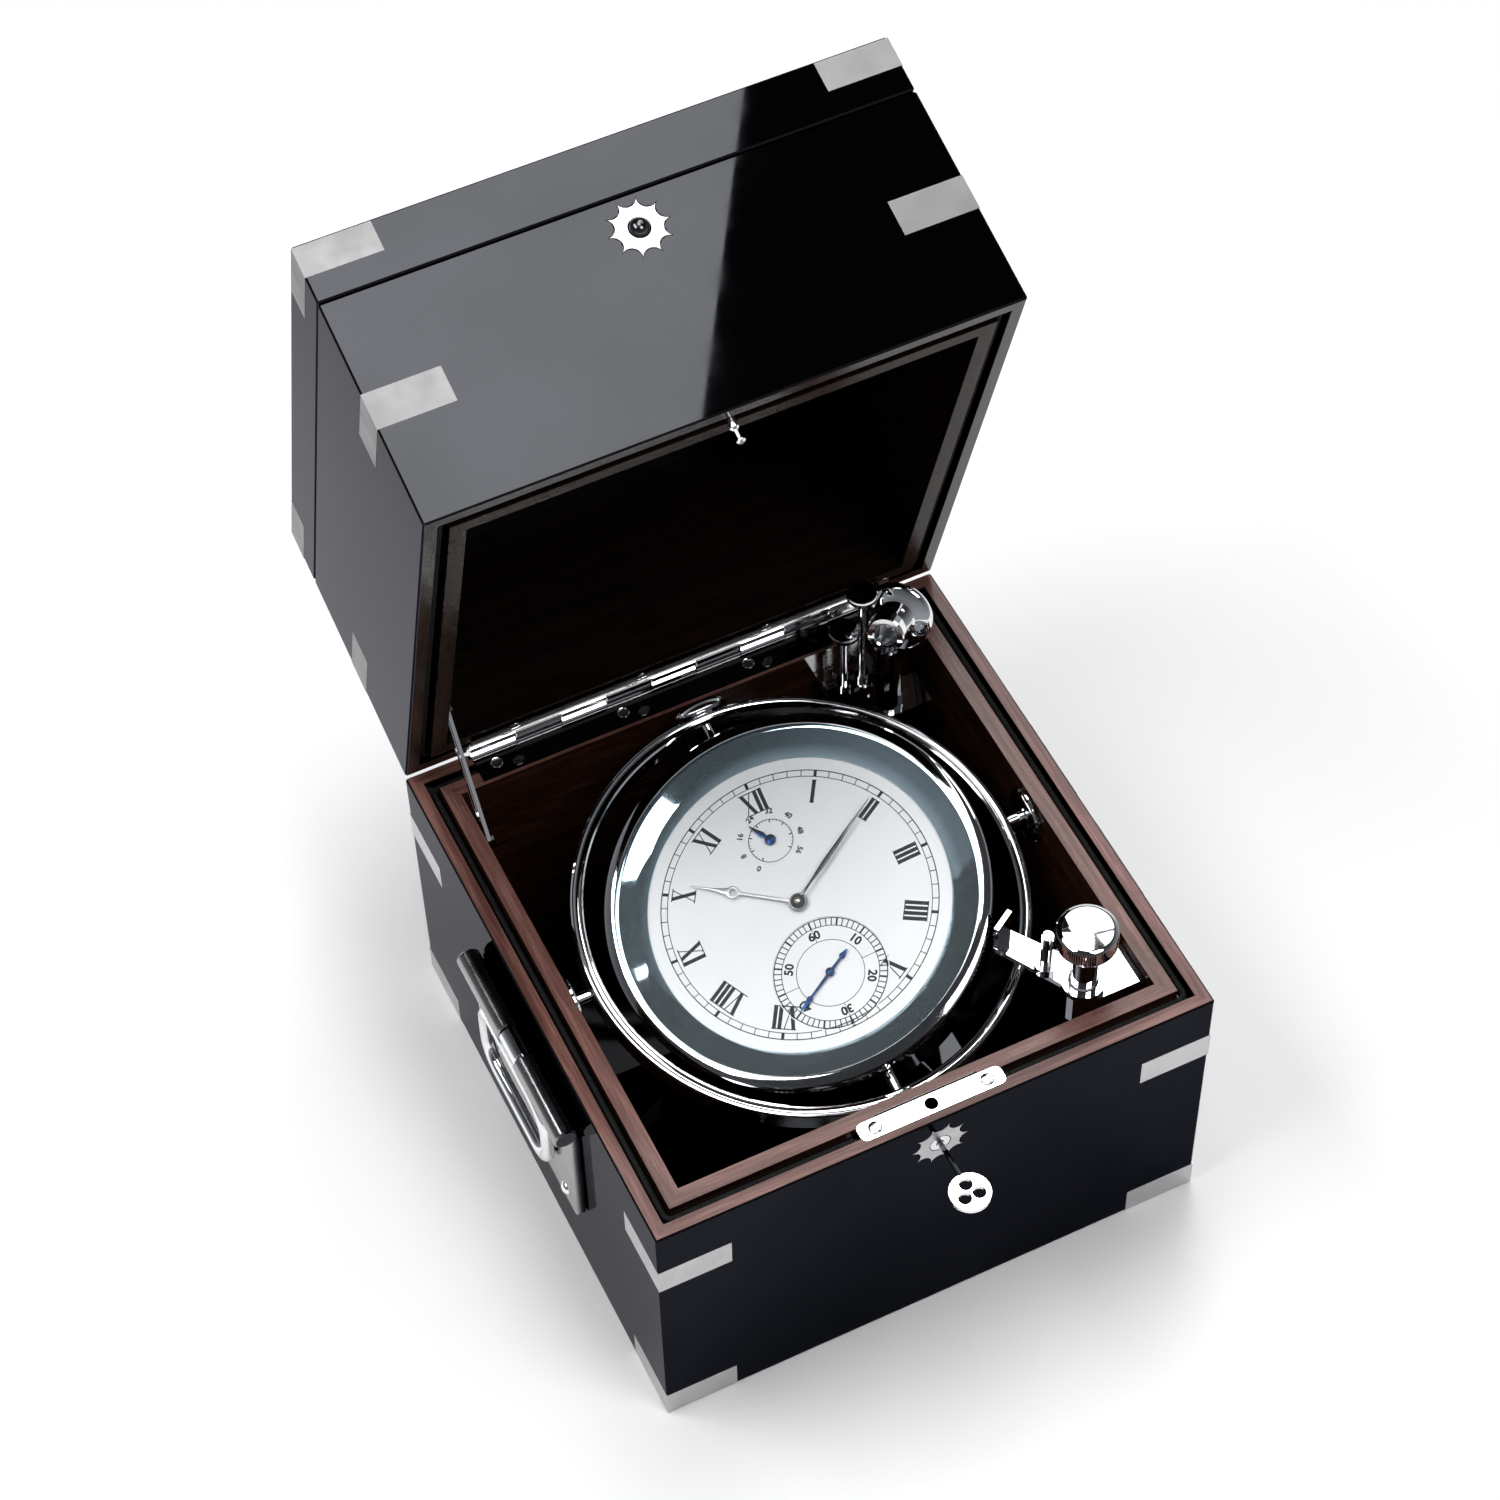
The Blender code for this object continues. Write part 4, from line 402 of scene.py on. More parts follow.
def make_grain_group():
    """Straight wood grain along each side of a square frame, mitred at its corners."""
    tree, n, given, out = new_group(
        "mitred grain",
        [("Vector", "Vector", None), ("Dark", "Color", None), ("Light", "Color", None),
         ("Fineness", "Float", 1.0)],
        [("Color", "Color"), ("Height", "Float")])
    x, y, z = n.split(given["Vector"])
    side = n.math("GREATER_THAN", n.math("ABSOLUTE", x), n.math("ABSOLUTE", y))
    front = n.math("SUBTRACT", 1.0, side)
    along = n.math("ADD", n.times(y, side), n.times(x, front))
    across = n.math("ADD", n.times(x, side), n.times(y, front))
    lengthwise = n.times(along, 16.0)
    stretched = n.join(lengthwise, n.times(across, 260.0), n.times(z, 260.0))
    figure = n.noise(stretched, 1.0, 4.0, 0.6, 0.4)
    fine = n.times(given["Fineness"], 1500.0)
    pores = n.noise(n.join(n.times(along, 90.0), n.times(across, fine),
                           n.times(z, fine)), 1.0, 2.0)
    streaks = n.span(pores, 0.42, 0.62)
    tone = n.times(n.span(figure, 0.3, 0.7), n.math("ADD", n.times(streaks, 0.5), 0.5))
    n.link(n.mix(tone, given["Dark"], given["Light"]), out["Color"])
    n.link(streaks, out["Height"])
    return tree


def make_polish_group():
    """Hand polish: faint smears in the roughness and fine scratches in the height."""
    tree, n, given, out = new_group(
        "hand polish", [("Vector", "Vector", None), ("Roughness", "Float", 0.1), ("Smears", "Float", 0.05),
                        ("Scratches", "Float", 0.2)],
        [("Roughness", "Float"), ("Height", "Float")])
    smears = n.noise(given["Vector"], 90.0, 3.0, 0.55)
    scratches = n.noise(given["Vector"], 2600.0, 1.0)
    rough = n.math("ADD", given["Roughness"], n.times(n.span(smears, 0.4, 0.75), given["Smears"]))
    n.link(rough, out["Roughness"])
    n.link(n.times(scratches, given["Scratches"]), out["Height"])
    return tree


def make_tarnish_group():
    """Slow drift of a metal's colour between two close tones."""
    tree, n, given, out = new_group(
        "tone drift", [("Vector", "Vector", None), ("First", "Color", None), ("Second", "Color", None),
                       ("Scale", "Float", 60.0)], [("Color", "Color")])
    drift = n.span(n.noise(given["Vector"], given["Scale"], 4.0), 0.3, 0.7)
    n.link(n.mix(drift, given["First"], given["Second"]), out["Color"])
    return tree


def make_rim_group():
    """Mask of the outer strip on a rim of the box, without its eased edge."""
    tree, n, given, out = new_group(
        "rim strip",
        [("Vector", "Vector", None), ("Height", "Float", BASE_TOP), ("Depth", "Float", 0.5 * MM)],
        [("Mask", "Float")])
    x, y, z = n.split(given["Vector"])
    reach = n.math("MAXIMUM", n.math("ABSOLUTE", x), n.math("ABSOLUTE", y))
    strip = n.times(n.math("GREATER_THAN", reach, HALF - RIM_STRIP - 0.2 * MM),
                   n.math("LESS_THAN", reach, HALF - 0.55 * MM))
    level = n.math("LESS_THAN", n.math("ABSOLUTE", n.math("SUBTRACT", z, given["Height"])), given["Depth"])
    n.link(n.times(strip, level), out["Mask"])
    return tree


GRAIN = make_grain_group()
POLISH = make_polish_group()
DRIFT = make_tarnish_group()
RIM = make_rim_group()


def toned(n, place, first, second, scale=60.0):
    return n.group(DRIFT, Vector=place, First=(*first, 1), Second=(*second, 1), Scale=scale)[0]


def polished(n, place, roughness, smears, scratches):
    return n.group(POLISH, Vector=place, Roughness=roughness, Smears=smears, Scratches=scratches)


def grained(n, place, dark, light, fineness=1.0):
    return n.group(GRAIN, Vector=place, Dark=(*dark, 1), Light=(*light, 1), Fineness=fineness)


def new_material(name, **values):
    """A material with plain values on its shader. An underscore stands for a space."""
    material = bpy.data.materials.new(name)
    material.use_nodes = True
    nodes = Nodes(material.node_tree)
    shader = material.node_tree.nodes["Principled BSDF"]
    for key, value in values.items():
        shader.inputs[key.replace("_", " ")].default_value = value
    place = nodes.add("ShaderNodeTexCoord").outputs["Object"]
    return material, nodes, shader, place


def bump(n, shader, height, strength, distance=0.05 * MM):
    node = n.add("ShaderNodeBump")
    node.inputs["Strength"].default_value = strength
    node.inputs["Distance"].default_value = distance
    n.link(height, node.inputs["Height"])
    n.link(node.outputs[0], shader.inputs["Normal"])


def metal(name, first, second, roughness, smears=0.05, scratches=0.3, drift=60.0, strength=0.04):
    material, n, shader, place = new_material(name, Metallic=1.0)
    n.link(toned(n, place, first, second, drift), shader.inputs["Base Color"])
    polish = polished(n, place, roughness, smears, scratches)
    n.link(polish["Roughness"], shader.inputs["Roughness"])
    bump(n, shader, polish["Height"], strength)
    return material


def hinge_metal(name):
    """Polished knuckles round the hinge line; the leaves beside them are the same steel painted dark as
    shade.
    """
    material, n, shader, place = new_material(name, Metallic=1.0)
    _, y, z = n.split(place)
    away = n.math("MAXIMUM", n.math("ABSOLUTE", n.math("SUBTRACT", y, HINGE.y)),
                  n.math("ABSOLUTE", n.math("SUBTRACT", z, HINGE.z)))
    leaf = n.math("GREATER_THAN", away, 3.2 * MM)
    bright = toned(n, place, (0.86, 0.86, 0.87), (0.80, 0.81, 0.83))
    # the leaves: the same steel painted dark as shade
    dark = toned(n, place, (0.05, 0.048, 0.046), (0.08, 0.078, 0.075))
    n.link(n.mix(leaf, bright, dark), shader.inputs["Base Color"])
    polish = polished(n, place, 0.04, 0.05, 0.3)
    n.link(polish["Roughness"], shader.inputs["Roughness"])
    bump(n, shader, polish["Height"], 0.04)
    return material


def closed_place(n, place, lid):
    """Coordinates of the closed box, whatever way the lid's mesh is turned."""
    if not lid:
        return place
    node = n.add("ShaderNodeMapping")
    node.inputs["Location"].default_value = LID_BACK.to_translation()
    node.inputs["Rotation"].default_value = LID_BACK.to_euler()
    n.link(place, node.inputs["Vector"])
    return node.outputs[0]


def lacquer(name, lid=False, rim=None):
    """Black piano lacquer, with the bare rosewood strip on a rim where there is one."""
    material, n, shader, place = new_material(name, Metallic=1.0, Specular_Tint=(0.4, 0.4, 0.42, 1))
    place = closed_place(n, place, lid)
    colour = toned(n, place, (0.026, 0.027, 0.029), (0.03, 0.031, 0.034), 20.0)
    polish = polished(n, place, 0.015, 0.02, 0.1)
    rough = polish["Roughness"]
    if rim is not None:
        mask = n.group(RIM, Vector=place, Height=rim)[0]
        # on the lid the rim wood takes the pair darkened as painted shade
        wood = grained(n, place, *(WOOD_LID_PAINTED_SHADE if lid else WOOD_RIM))
        colour = n.mix(mask, colour, wood["Color"])
        rough = n.math("ADD", rough, n.times(mask, 0.2))
        n.link(n.math("SUBTRACT", 1.0, mask), shader.inputs["Metallic"])
    n.link(colour, shader.inputs["Base Color"])
    n.link(rough, shader.inputs["Roughness"])
    bump(n, shader, polish["Height"], 0.01)
    return material


def lining(name, lid, rim, wall_dark_shaded, wall_light_shaded):
    """Rosewood lining: varnished dark rosewood on the walls, darkened further as painted shade, lighter on
    the rim.
    """
    material, n, shader, place = new_material(name, IOR=1.36, Specular_IOR_Level=0.12 if lid else 0.5)
    place = closed_place(n, place, lid)
    # on the lid the rim wood takes the pair darkened as painted shade
    wood = grained(n, place, *(WOOD_LID_PAINTED_SHADE if lid else WOOD_RIM))
    wall = grained(n, place, wall_dark_shaded, wall_light_shaded, 0.6)
    height = n.split(place)[2]
    mask = n.math("LESS_THAN", n.math("ABSOLUTE", n.math("SUBTRACT", height, rim)), 0.25 * MM)
    n.link(n.mix(mask, wall["Color"], wood["Color"]), shader.inputs["Base Color"])
    polish = polished(n, place, 0.1, 0.06, 0.1)
    n.link(n.math("ADD", polish["Roughness"], n.times(mask, 0.15)), shader.inputs["Roughness"])
    bump(n, shader, wood["Height"], 0.03)
    return material


def clear_glass(name, tint, alpha, index):
    material, n, shader, place = new_material(name, IOR=index, Alpha=alpha)
    n.link(toned(n, place, tint, [c * 0.93 for c in tint], 15.0), shader.inputs["Base Color"])
    n.link(polished(n, place, 0.0, 0.015, 0.0)["Roughness"], shader.inputs["Roughness"])
    return material


def dial_white(name):
    """Matte silvered dial with a fine frosted grain."""
    material, n, shader, place = new_material(name, IOR=1.2)
    frost = n.noise(place, 5200.0, 2.0)
    n.link(toned(n, place, (0.88, 0.89, 0.905), (0.92, 0.925, 0.94), 45.0), shader.inputs["Base Color"])
    n.link(n.span(frost, 0.3, 0.7, 0.42, 0.6), shader.inputs["Roughness"])
    bump(n, shader, frost, 0.08)
    return material


def ink(name, colour):
    material, n, shader, place = new_material(name, IOR=1.15)
    lighter = [c * 1.6 + 0.004 for c in colour]
    n.link(toned(n, place, colour, lighter, 900.0), shader.inputs["Base Color"])
    n.link(polished(n, place, 0.6, 0.1, 0.2)["Roughness"], shader.inputs["Roughness"])
    return material


CHROME = metal("polished chrome", (0.86, 0.86, 0.87), (0.80, 0.81, 0.83), 0.035)
BRIGHT = metal("bright polished steel", (0.92, 0.92, 0.92), (0.86, 0.87, 0.88), 0.08, 0.08)
SATIN = metal("satin silver inlay", (0.56, 0.555, 0.56), (0.49, 0.485, 0.49), 0.36, 0.1, 1.0, 120.0, 0.12)
# The same silver inlay on the lid, darkened as painted shade
SATIN_LID_PAINTED_SHADE = metal("satin silver, lid, painted shade", (0.19, 0.188, 0.19), (0.165, 0.163, 0.165), 0.36, 0.1, 1.0,
                  120.0, 0.12)
MIRROR = metal("tinted mirror cone", (0.56, 0.71, 0.78), (0.48, 0.63, 0.70), 0.04, 0.03, strength=0.004)
BRASS = metal("gilt brass", (0.80, 0.60, 0.29), (0.70, 0.50, 0.22), 0.22, 0.15, 1.0, 140.0, 0.12)
STEEL = metal("grey steel", (0.52, 0.53, 0.55), (0.42, 0.43, 0.45), 0.14, 0.1)
# Polished steel like the other hands, darkened as a painted dark reflection; on the minute hand and the
# push button
STEEL_PAINTED_DARK = metal("polished steel, painted dark reflection", (0.07, 0.07, 0.075), (0.11, 0.11, 0.115), 0.14, 0.08)
# Chrome of the handle plate, darkened to paint the dim reflection of the shaded table
HANDLE = metal("handle chrome, painted shade", (0.36, 0.355, 0.36), (0.29, 0.285, 0.29), 0.12, 0.08)
HAND_BRIGHT = metal("brushed hand steel", (0.52, 0.52, 0.54), (0.46, 0.46, 0.48), 0.36, 0.1)
BLUED = metal("blued steel", (0.006, 0.02, 0.085), (0.01, 0.035, 0.14), 0.22, 0.08)
HINGE_METAL = hinge_metal("steel hinge, leaves in painted shade")
LACQUER_BASE = lacquer("black lacquer, base", rim=BASE_TOP)
LACQUER_MIDDLE = lacquer("black lacquer, middle tier", lid=True, rim=MIDDLE_LOW)
LACQUER_TOP = lacquer("black lacquer, top lid", lid=True)
# Wall tones of the linings: dark rosewood darkened as painted shade, the lid's nearly to black
LINING_BASE = lining("rosewood lining with painted shade, base", False, BASE_TOP, (0.012, 0.005, 0.003), (0.055, 0.021, 0.012))
LINING_MIDDLE = lining("rosewood lining with painted shade, middle tier", True, MIDDLE_LOW, (0.003, 0.002, 0.002),
                       (0.012, 0.006, 0.004))
PANE = clear_glass("dark lid glass", (0.006, 0.005, 0.004), 0.6, 1.12)
CRYSTAL = clear_glass("dial glass", (0.80, 0.92, 0.96), 0.03, 1.38)
DIAL_WHITE = dial_white("frosted dial")
INK_BLACK = ink("dial ink", (0.003, 0.003, 0.004))
RUBBER = ink("groove seal rubber", (0.006, 0.006, 0.006))


# ------------------------------------------------------------------ CAD nodes kept as they are

def dress_nodes():
    """Finishes on the CAD solids that show as they are, with eased edges on the bright ones."""
    finishes = {
        LACQUER_BASE: ["base_case"],
        LACQUER_MIDDLE: ["middle_case"],
        LACQUER_TOP: ["top_lid"],
        LINING_BASE: ["base_liner"],
        LINING_MIDDLE: ["middle_liner"],
        PANE: ["middle_glass"],
        SATIN: ["lock_escutcheon", "button_escutcheon"],
        BRIGHT: ["lock_case"],
        HINGE_METAL: ["hinge_leaf_base", "hinge_leaf_middle"],
        CHROME: ["hinge_pin", "top_hinge_leaf_lower", "top_hinge_leaf_upper", "lid_stay", "stay_pivot",
                 "lock_plug", "case_key", "gimbal_lock_bracket", "gimbal_lock_arm", "key_holder",
                 "screw_bracket"],
        STEEL: ["lock_bolt", "detent", "balance_spring"],
        BRASS: ["dust_shutter", "pillar_plate", "top_plate", "centre_wheel", "third_wheel", "fourth_wheel",
                "escape_wheel", "fusee", "mainspring_barrel", "balance", "balance_cock"],
    }
    for material, names in finishes.items():
        for name in names:
            node = NODES[name]
            node.data.materials.clear()
            node.data.materials.append(material)
            if material in (CHROME, BRIGHT, HINGE_METAL):
                ease(node, 0.18 * MM)


def ease(piece, width, segments=2):
    modifier = piece.modifiers.new("eased edges", "BEVEL")
    modifier.width = width
    modifier.segments = segments
    modifier.limit_method = "ANGLE"
    modifier.angle_limit = 40 * DEG
    modifier.harden_normals = False


# ------------------------------------------------------------------ box trim

def corner_angle(low, high):
    """Four inlaid angle plates round the box's corners, as one mesh, in mm."""
    half = HALF / MM + INLAY_PROUD / MM
    inner = half - INLAY_THICK / MM
    reach = HALF / MM - INLAY / MM
    outline = [(half, half), (reach, half), (reach, inner), (inner, inner), (inner, reach), (half, reach)]
    meshes = []
    for side_x in (-1, 1):
        for side_y in (-1, 1):
            turned = [(x * side_x, y * side_y) for x, y in outline]
            meshes.append(sheet_metal([turned], low, high))
    return merged(meshes)


def make_inlays():
    for name, low, high, finish, body, matrix in (
            ("inlays_base_foot", 0.3, 11.5, SATIN, "case", HOME),
            ("inlays_base_upper", 78.7, 89.8, SATIN, "case", HOME),
            # the lid's inlays take the silver darkened as painted shade
            ("inlays_middle", 141.3, 153.1, SATIN_LID_PAINTED_SHADE, "lid", LID),
            ("inlays_top", 192.9, 203.1, SATIN_LID_PAINTED_SHADE, "top", LID)):
        add(name, corner_angle(low, high), finish, body, matrix)


def seal(name, height, body, matrix):
    """Soft seal in the groove of a rim, let out at the front within SEAL_GAP mm of the lock."""
    half = (HALF - RIM_STRIP - GROOVE / 2) / MM
    loop = rounded(2 * half, 2 * half, 3, 5)
    front_right = 3 * len(loop) // 4
    loop = [(SEAL_GAP, -half)] + loop[front_right:] + loop[:front_right] + [(-SEAL_GAP, -half)]
    points = [Vector((x * MM, y * MM, height)) for x, y in loop]
    add(name, wire(points, SEAL_RADIUS, resolution=2), RUBBER, body, matrix)


def slotted_screw(radius, height=0.5, slot=0.45):
    """Screw head with a cut across it, its seat at height 0, in mm."""
    dome = [(0, height), (radius * 0.82, height), (radius * 0.95, height * 0.75),
            (radius, height * 0.4), (radius, -0.4), (0, -0.4)]
    head = lathe(dome, 32)
    reach = radius * 1.1
    cutter = bars([((-reach, -slot / 2), (reach, -slot / 2), (reach, slot / 2), (-reach, slot / 2))],
                  height * 0.25 * MM, 3 * MM)
    return carve(head, cutter)


def carve(mesh, cutter):
    """The mesh with the cutter taken out of it."""
    body = new_object("blank", mesh)
    tool = new_object("tool", cutter)
    modifier = body.modifiers.new("cut", "BOOLEAN")
    modifier.operation = "DIFFERENCE"
    modifier.solver = "EXACT"
    modifier.object = tool
    result = bpy.data.meshes.new_from_object(body.evaluated_get(bpy.context.evaluated_depsgraph_get()))
    for item in (body, tool):
        bpy.data.objects.remove(item)
    result.polygons.foreach_set("use_smooth", [True] * len(result.polygons))
    result.set_sharp_from_angle(angle=30 * DEG)
    return result


def make_screws():
    """Slotted screws in the lock plate and the hinge leaves."""
    for name, x, turn in (("left", -19.1, 35), ("right", 19.1, -15)):
        place = shift((x * MM, LOCK_Y, BASE_TOP)) @ spin(turn, "Z")
        add("lock_plate_screw_" + name, slotted_screw(2.2, 0.4, 0.6), STEEL, "case", place)
    for index, x in enumerate((-66, -21, 24, 67)):
        turn = spin(20 + 50 * index, "Z")
        base = shift((x * MM, HINGE_SCREW_Y, BASE_TOP)) @ turn
        add("hinge_screw_base_%d" % index, slotted_screw(2.0, 0.3), CHROME, "case", base)
        flip = spin(180, "X")
        lid = LID @ shift(((x + 9) * MM, HINGE_SCREW_Y, MIDDLE_LOW)) @ flip @ turn
        add("hinge_screw_lid_%d" % index, slotted_screw(2.0, 0.25), CHROME, "lid", lid)


def star_outline(tip=10.0, valley=7.1, points=10, steps=14):
    """A disc with a round bite between each two tips, tips level with its middle, in mm."""
    half = math.pi / points
    bite_centre = (tip ** 2 - valley ** 2) / (2 * (tip * math.cos(half) - valley))
    bite = bite_centre - valley
    spread = math.atan2(tip * math.sin(half), bite_centre - tip * math.cos(half))
    outline = []
    for i in range(points):
        middle = (2 * i + 1) * half
        for step in range(steps):
            turn = spread * (2 * step / steps - 1)
            along = bite_centre - bite * math.cos(turn)
            across = bite * math.sin(turn)
            outline.append((along * math.cos(middle) - across * math.sin(middle),
                            along * math.sin(middle) + across * math.cos(middle)))
    return outline


def make_stars():
    """Inlaid star plates round the keyhole and the push button."""
    front = spin(90, "X")
    for name, node, height, bore, body, matrix in (
            ("star_lock", "lock_escutcheon", KEY_Z, 3.7, "case", HOME),
            ("star_button", "button_escutcheon", BUTTON_Z, 3.5, "lid", LID)):
        ring = arc((0, 0), bore, 0, 360, 40)[:-1]
        mesh = sheet_metal([star_outline(), ring], -1.0, 0.04)
        place = matrix @ shift((0, -HALF, height)) @ front
        add(name, mesh, SATIN, body, place, [node])


def make_lid_fittings():
    button = [(0, 2.6), (0.9, 2.5), (1.8, 2.15), (2.5, 1.6), (3.0, 0.8), (3.2, 0), (3.2, -5.2), (0, -5.2)]
    place = LID @ shift((0, -HALF, BUTTON_Z)) @ spin(90, "X")
    # the button's steel is darkened as a painted dark reflection
    add("push_button", lathe(button, 64, sharp=50 * DEG), STEEL_PAINTED_DARK, "button", place,
        ["release_button"])
    low = 101.4
    pin = [(0, 113.1), (1.5, 113.1), (1.5, low + 5.1), (0.75, low + 4.2), (0.75, low + 1.6),
           (1.5, low + 0.9), (1.5, low + 0.6), (0.9, low), (0, low)]
    add("lid_catch", lathe(pin, 40), BRIGHT, "lid", LID @ shift((0, LOCK_Y, 0)),
        ["catch_pin"])


# ------------------------------------------------------------------ handles

def make_handle(name, side):
    """Mounting plate with a rolled top, and the bail that hangs from it."""
    flip = HOME if side > 0 else spin(180, "Z")
    half = HANDLE_HALF / MM
    foot = HANDLE_FOOT / MM
    top = HANDLE_TOP / MM
    face = HANDLE_FACE / MM
    outline = [(half, top), (-half, top)] + arc((-half + 4, foot + 4), 4, 180, 270, 6)
    outline += arc((half - 4, foot + 4), 4, 270, 360, 6)
    upright = Matrix(((0, 0, 1, 0), (1, 0, 0, 0), (0, 1, 0, 0), (0, 0, 0, 1)))
    gap = [(6, top + 1), (6, top - 4.6), (-6, top - 4.6), (-6, top + 1)]
    plate = carve(moved(sheet_metal([outline], face, face + HANDLE_THICK / MM, 0.4), upright),
                  moved(sheet_metal([gap], face - 2, face + 9), upright))
    parts = [plate]
    for end in (-1, 1):
        radius = ROLL / MM
        roll = [(0, half), (radius - 0.6, half), (radius, half - 0.6), (radius, 6.6), (radius - 0.6, 6),
                (0, 6)]
        parts.append(moved(lathe(roll, 48), shift(ROLL_AXIS) @ spin(-90 * end, "X")))
    pin = lathe([(0, 7), (1.4, 7), (1.4, -7), (0, -7)], 24)
    parts.append(moved(pin, shift(ROLL_AXIS) @ spin(90, "X")))
    # the plate takes the chrome darkened as painted shade
    add("handle_mount_" + name, merged(parts), HANDLE, "case", flip, ["handle_plate_" + name])

    for y, z in ((-29, 42.5), (29, 42.5), (-29, 75), (29, 75)):
        dome = [(0, 1.5), (0.9, 1.35), (1.7, 0.95), (2.3, 0.3), (2.4, -0.2), (0, -0.2)]
        place = flip @ shift((HANDLE_FACE + HANDLE_THICK, y * MM, z * MM)) @ spin(90, "Y")
        add("handle_screw_%s_%d_%d" % (name, y, z), lathe(dome, 32, sharp=60 * DEG), BRIGHT, "case",
            place)

    hang = HANDLE_FACE + HANDLE_THICK + (BAIL_WIRE + BAIL_GAP) * MM
    high = ROLL_AXIS.z - ROLL - BAIL_WIRE * MM - BAIL_GAP * MM
    low = ROLL_AXIS.z - 35 * MM
    loop = rounded(48, (high - low) / MM, 9, 8, (0, (high + low) / 2 / MM))
    bail = [wire([Vector((hang, y * MM, z * MM)) for y, z in loop], BAIL_WIRE * MM, cyclic=True)]
    eye = [(1.7, 5.7), (2.9, 5.7), (3.4, 5.2), (3.4, -5.2), (2.9, -5.7), (1.7, -5.7)]
    bail.append(moved(lathe(eye, 48), shift(ROLL_AXIS) @ spin(90, "X")))
    back, front = (hang - 1.7 * MM) / MM, (hang + 1.7 * MM) / MM
    bail.append(bars([((back, -5.7), (front, -5.7), (front, 5.7), (back, 5.7))], high,
                     ROLL_AXIS.z - BAIL_WIRE * MM))
    add("bail_wire_" + name, merged(bail), CHROME, name + "_bail", flip, ["bail_" + name])


# ------------------------------------------------------------------ gimbals and bowl

def make_gimbals():
    outer = RING_OUTER / MM
    inner = RING_INNER / MM
    hollow = [(inner + 0.9 + (outer - inner - 1.8) * i / 10, 4.5 - 0.5 * math.sin(math.pi * i / 10))
              for i in range(11)]
    ring = [(inner + 0.5, 4.5)] + hollow + [
        (outer - 0.5, 4.5), (outer, 4.0), (outer, -4.0), (outer - 0.5, -4.5), (inner + 0.5, -4.5),
        (inner, -4.0), (inner, 4.0)]
    add("ring_polished", lathe(ring, 160, sharp=25 * DEG), CHROME, "ring", RING, ["gimbal_ring"])

    flange = [(2.0, 2.6), (4.6, 2.4), (5.0, 2.0), (8.2, 1.8), (9.1, 1.4), (9.5, 0.8), (9.5, 0), (0, 0)]
    reach = (FLANGE_FACE - RING_INNER) / MM - 0.6
    case_pin = [(0, reach), (1.7, reach), (1.7, 6.8), (2.0, 6.8)] + flange
    for name, side in (("left", -1), ("right", 1)):
        place = shift((side * FLANGE_FACE, 0, PIVOT.z)) @ spin(-90 * side, "Y")
        add("case_pivot_" + name, lathe(case_pin, 64), CHROME, "case", place,
            ["gimbal_pivot_" + name])
    seat = RING_OUTER / MM + 2.3
    reach = seat - 53.3
    ring_pin = [(0, reach), (1.7, reach), (1.7, 6.3), (2.0, 6.3)] + flange
    for name, side in (("front", -1), ("rear", 1)):
        place = RING @ shift((0, side * seat * MM, 0)) @ spin(90 * side, "X")
        add("ring_pin_" + name, lathe(ring_pin, 64), CHROME, "ring", place,
            ["ring_pivot_" + name])


def make_bowl():
    swing = math.hypot(BEZEL / MM, BEZEL_EDGE)
    radius = BOWL_RADIUS / MM
    rim = BEZEL / MM - 0.6
    bottom = -BOWL_DEPTH / MM
    side_end = -math.sqrt(swing ** 2 - radius ** 2)
    outside = [side_end + (bottom - side_end) * i / 14 for i in range(15)]
    bore = radius - 3
    profile = [(0, bottom + 2.1)]
    profile += [(math.sqrt((swing - 3) ** 2 - z ** 2) - 0.5, z) for z in reversed(outside[2:-1])]
    profile += [(bore - 3, -4.4), (bore, -4.4), (bore, 4.4), (rim - 0.3, 4.4), (rim, 4.1), (rim, 2.9),
                (rim - 0.3, 2.6), (radius, 2.6)]
    profile += [(math.sqrt(swing ** 2 - z ** 2), z) for z in outside] + [(0, bottom)]
    shell = lathe(profile, 128)
    hole = lathe([(0, 10), (5, 10), (5, -10), (0, -10)], 40)
    shell = carve(shell, moved(hole, shift((14.6 * MM, 10.9 * MM, bottom * MM))))
    for side in (-1, 1):
        socket = lathe([(0, 12), (2.0, 12), (2.0, -12), (0, -12)], 32)
        shell = carve(shell, moved(socket, shift((0, side * 56 * MM, 0)) @ spin(90, "X")))
    add("bowl_polished", shell, CHROME, "instrument", BOWL, ["bowl"])


def make_bezel():
    radius = BEZEL / MM
    opening = GLASS_OPENING / MM
    profile = [(opening, 10.55), (opening + 0.25, 10.8), (opening + 0.9, 10.8), (radius - 0.45, 9.85),
               (radius, 9.4), (radius, 7.6), (radius - 0.35, 7.3), (radius, 7.0), (radius, 5.1),
               (radius - 0.3, 4.7), (59.5, 4.7), (59.5, 10.5)]
    mesh = lathe(profile, 480, (7, 8, 0.22), sharp=22 * DEG)
    add("bezel_polished", mesh, CHROME, "instrument", BOWL, ["bezel"])
    top = CRYSTAL_TOP / MM
    low = CRYSTAL_LOW / MM
    glass = [(0, top + 0.25), (30, top + 0.2), (opening - 1.2, top), (opening - 0.4, top - 0.3),
             (59.2, top - 0.35), (59.2, low), (0, low)]
    add("dial_glass", lathe(glass, 128), CRYSTAL, "instrument", BOWL, ["crystal"])
    inner = DIAL_OPENING / MM
    cone = [(inner, 4.3), (inner + 0.3, 4.75), (inner + 4.3, 6.5), (opening - 0.9, 8.3),
            (opening - 0.4, 8.5), (59.2, 8.5), (59.2, 4.7), (52.7, 4.7)]
    add("mirror_cone", lathe(cone, 192, sharp=35 * DEG), MIRROR, "instrument", BOWL,
        ["reflector_ring"])


# ------------------------------------------------------------------ dial

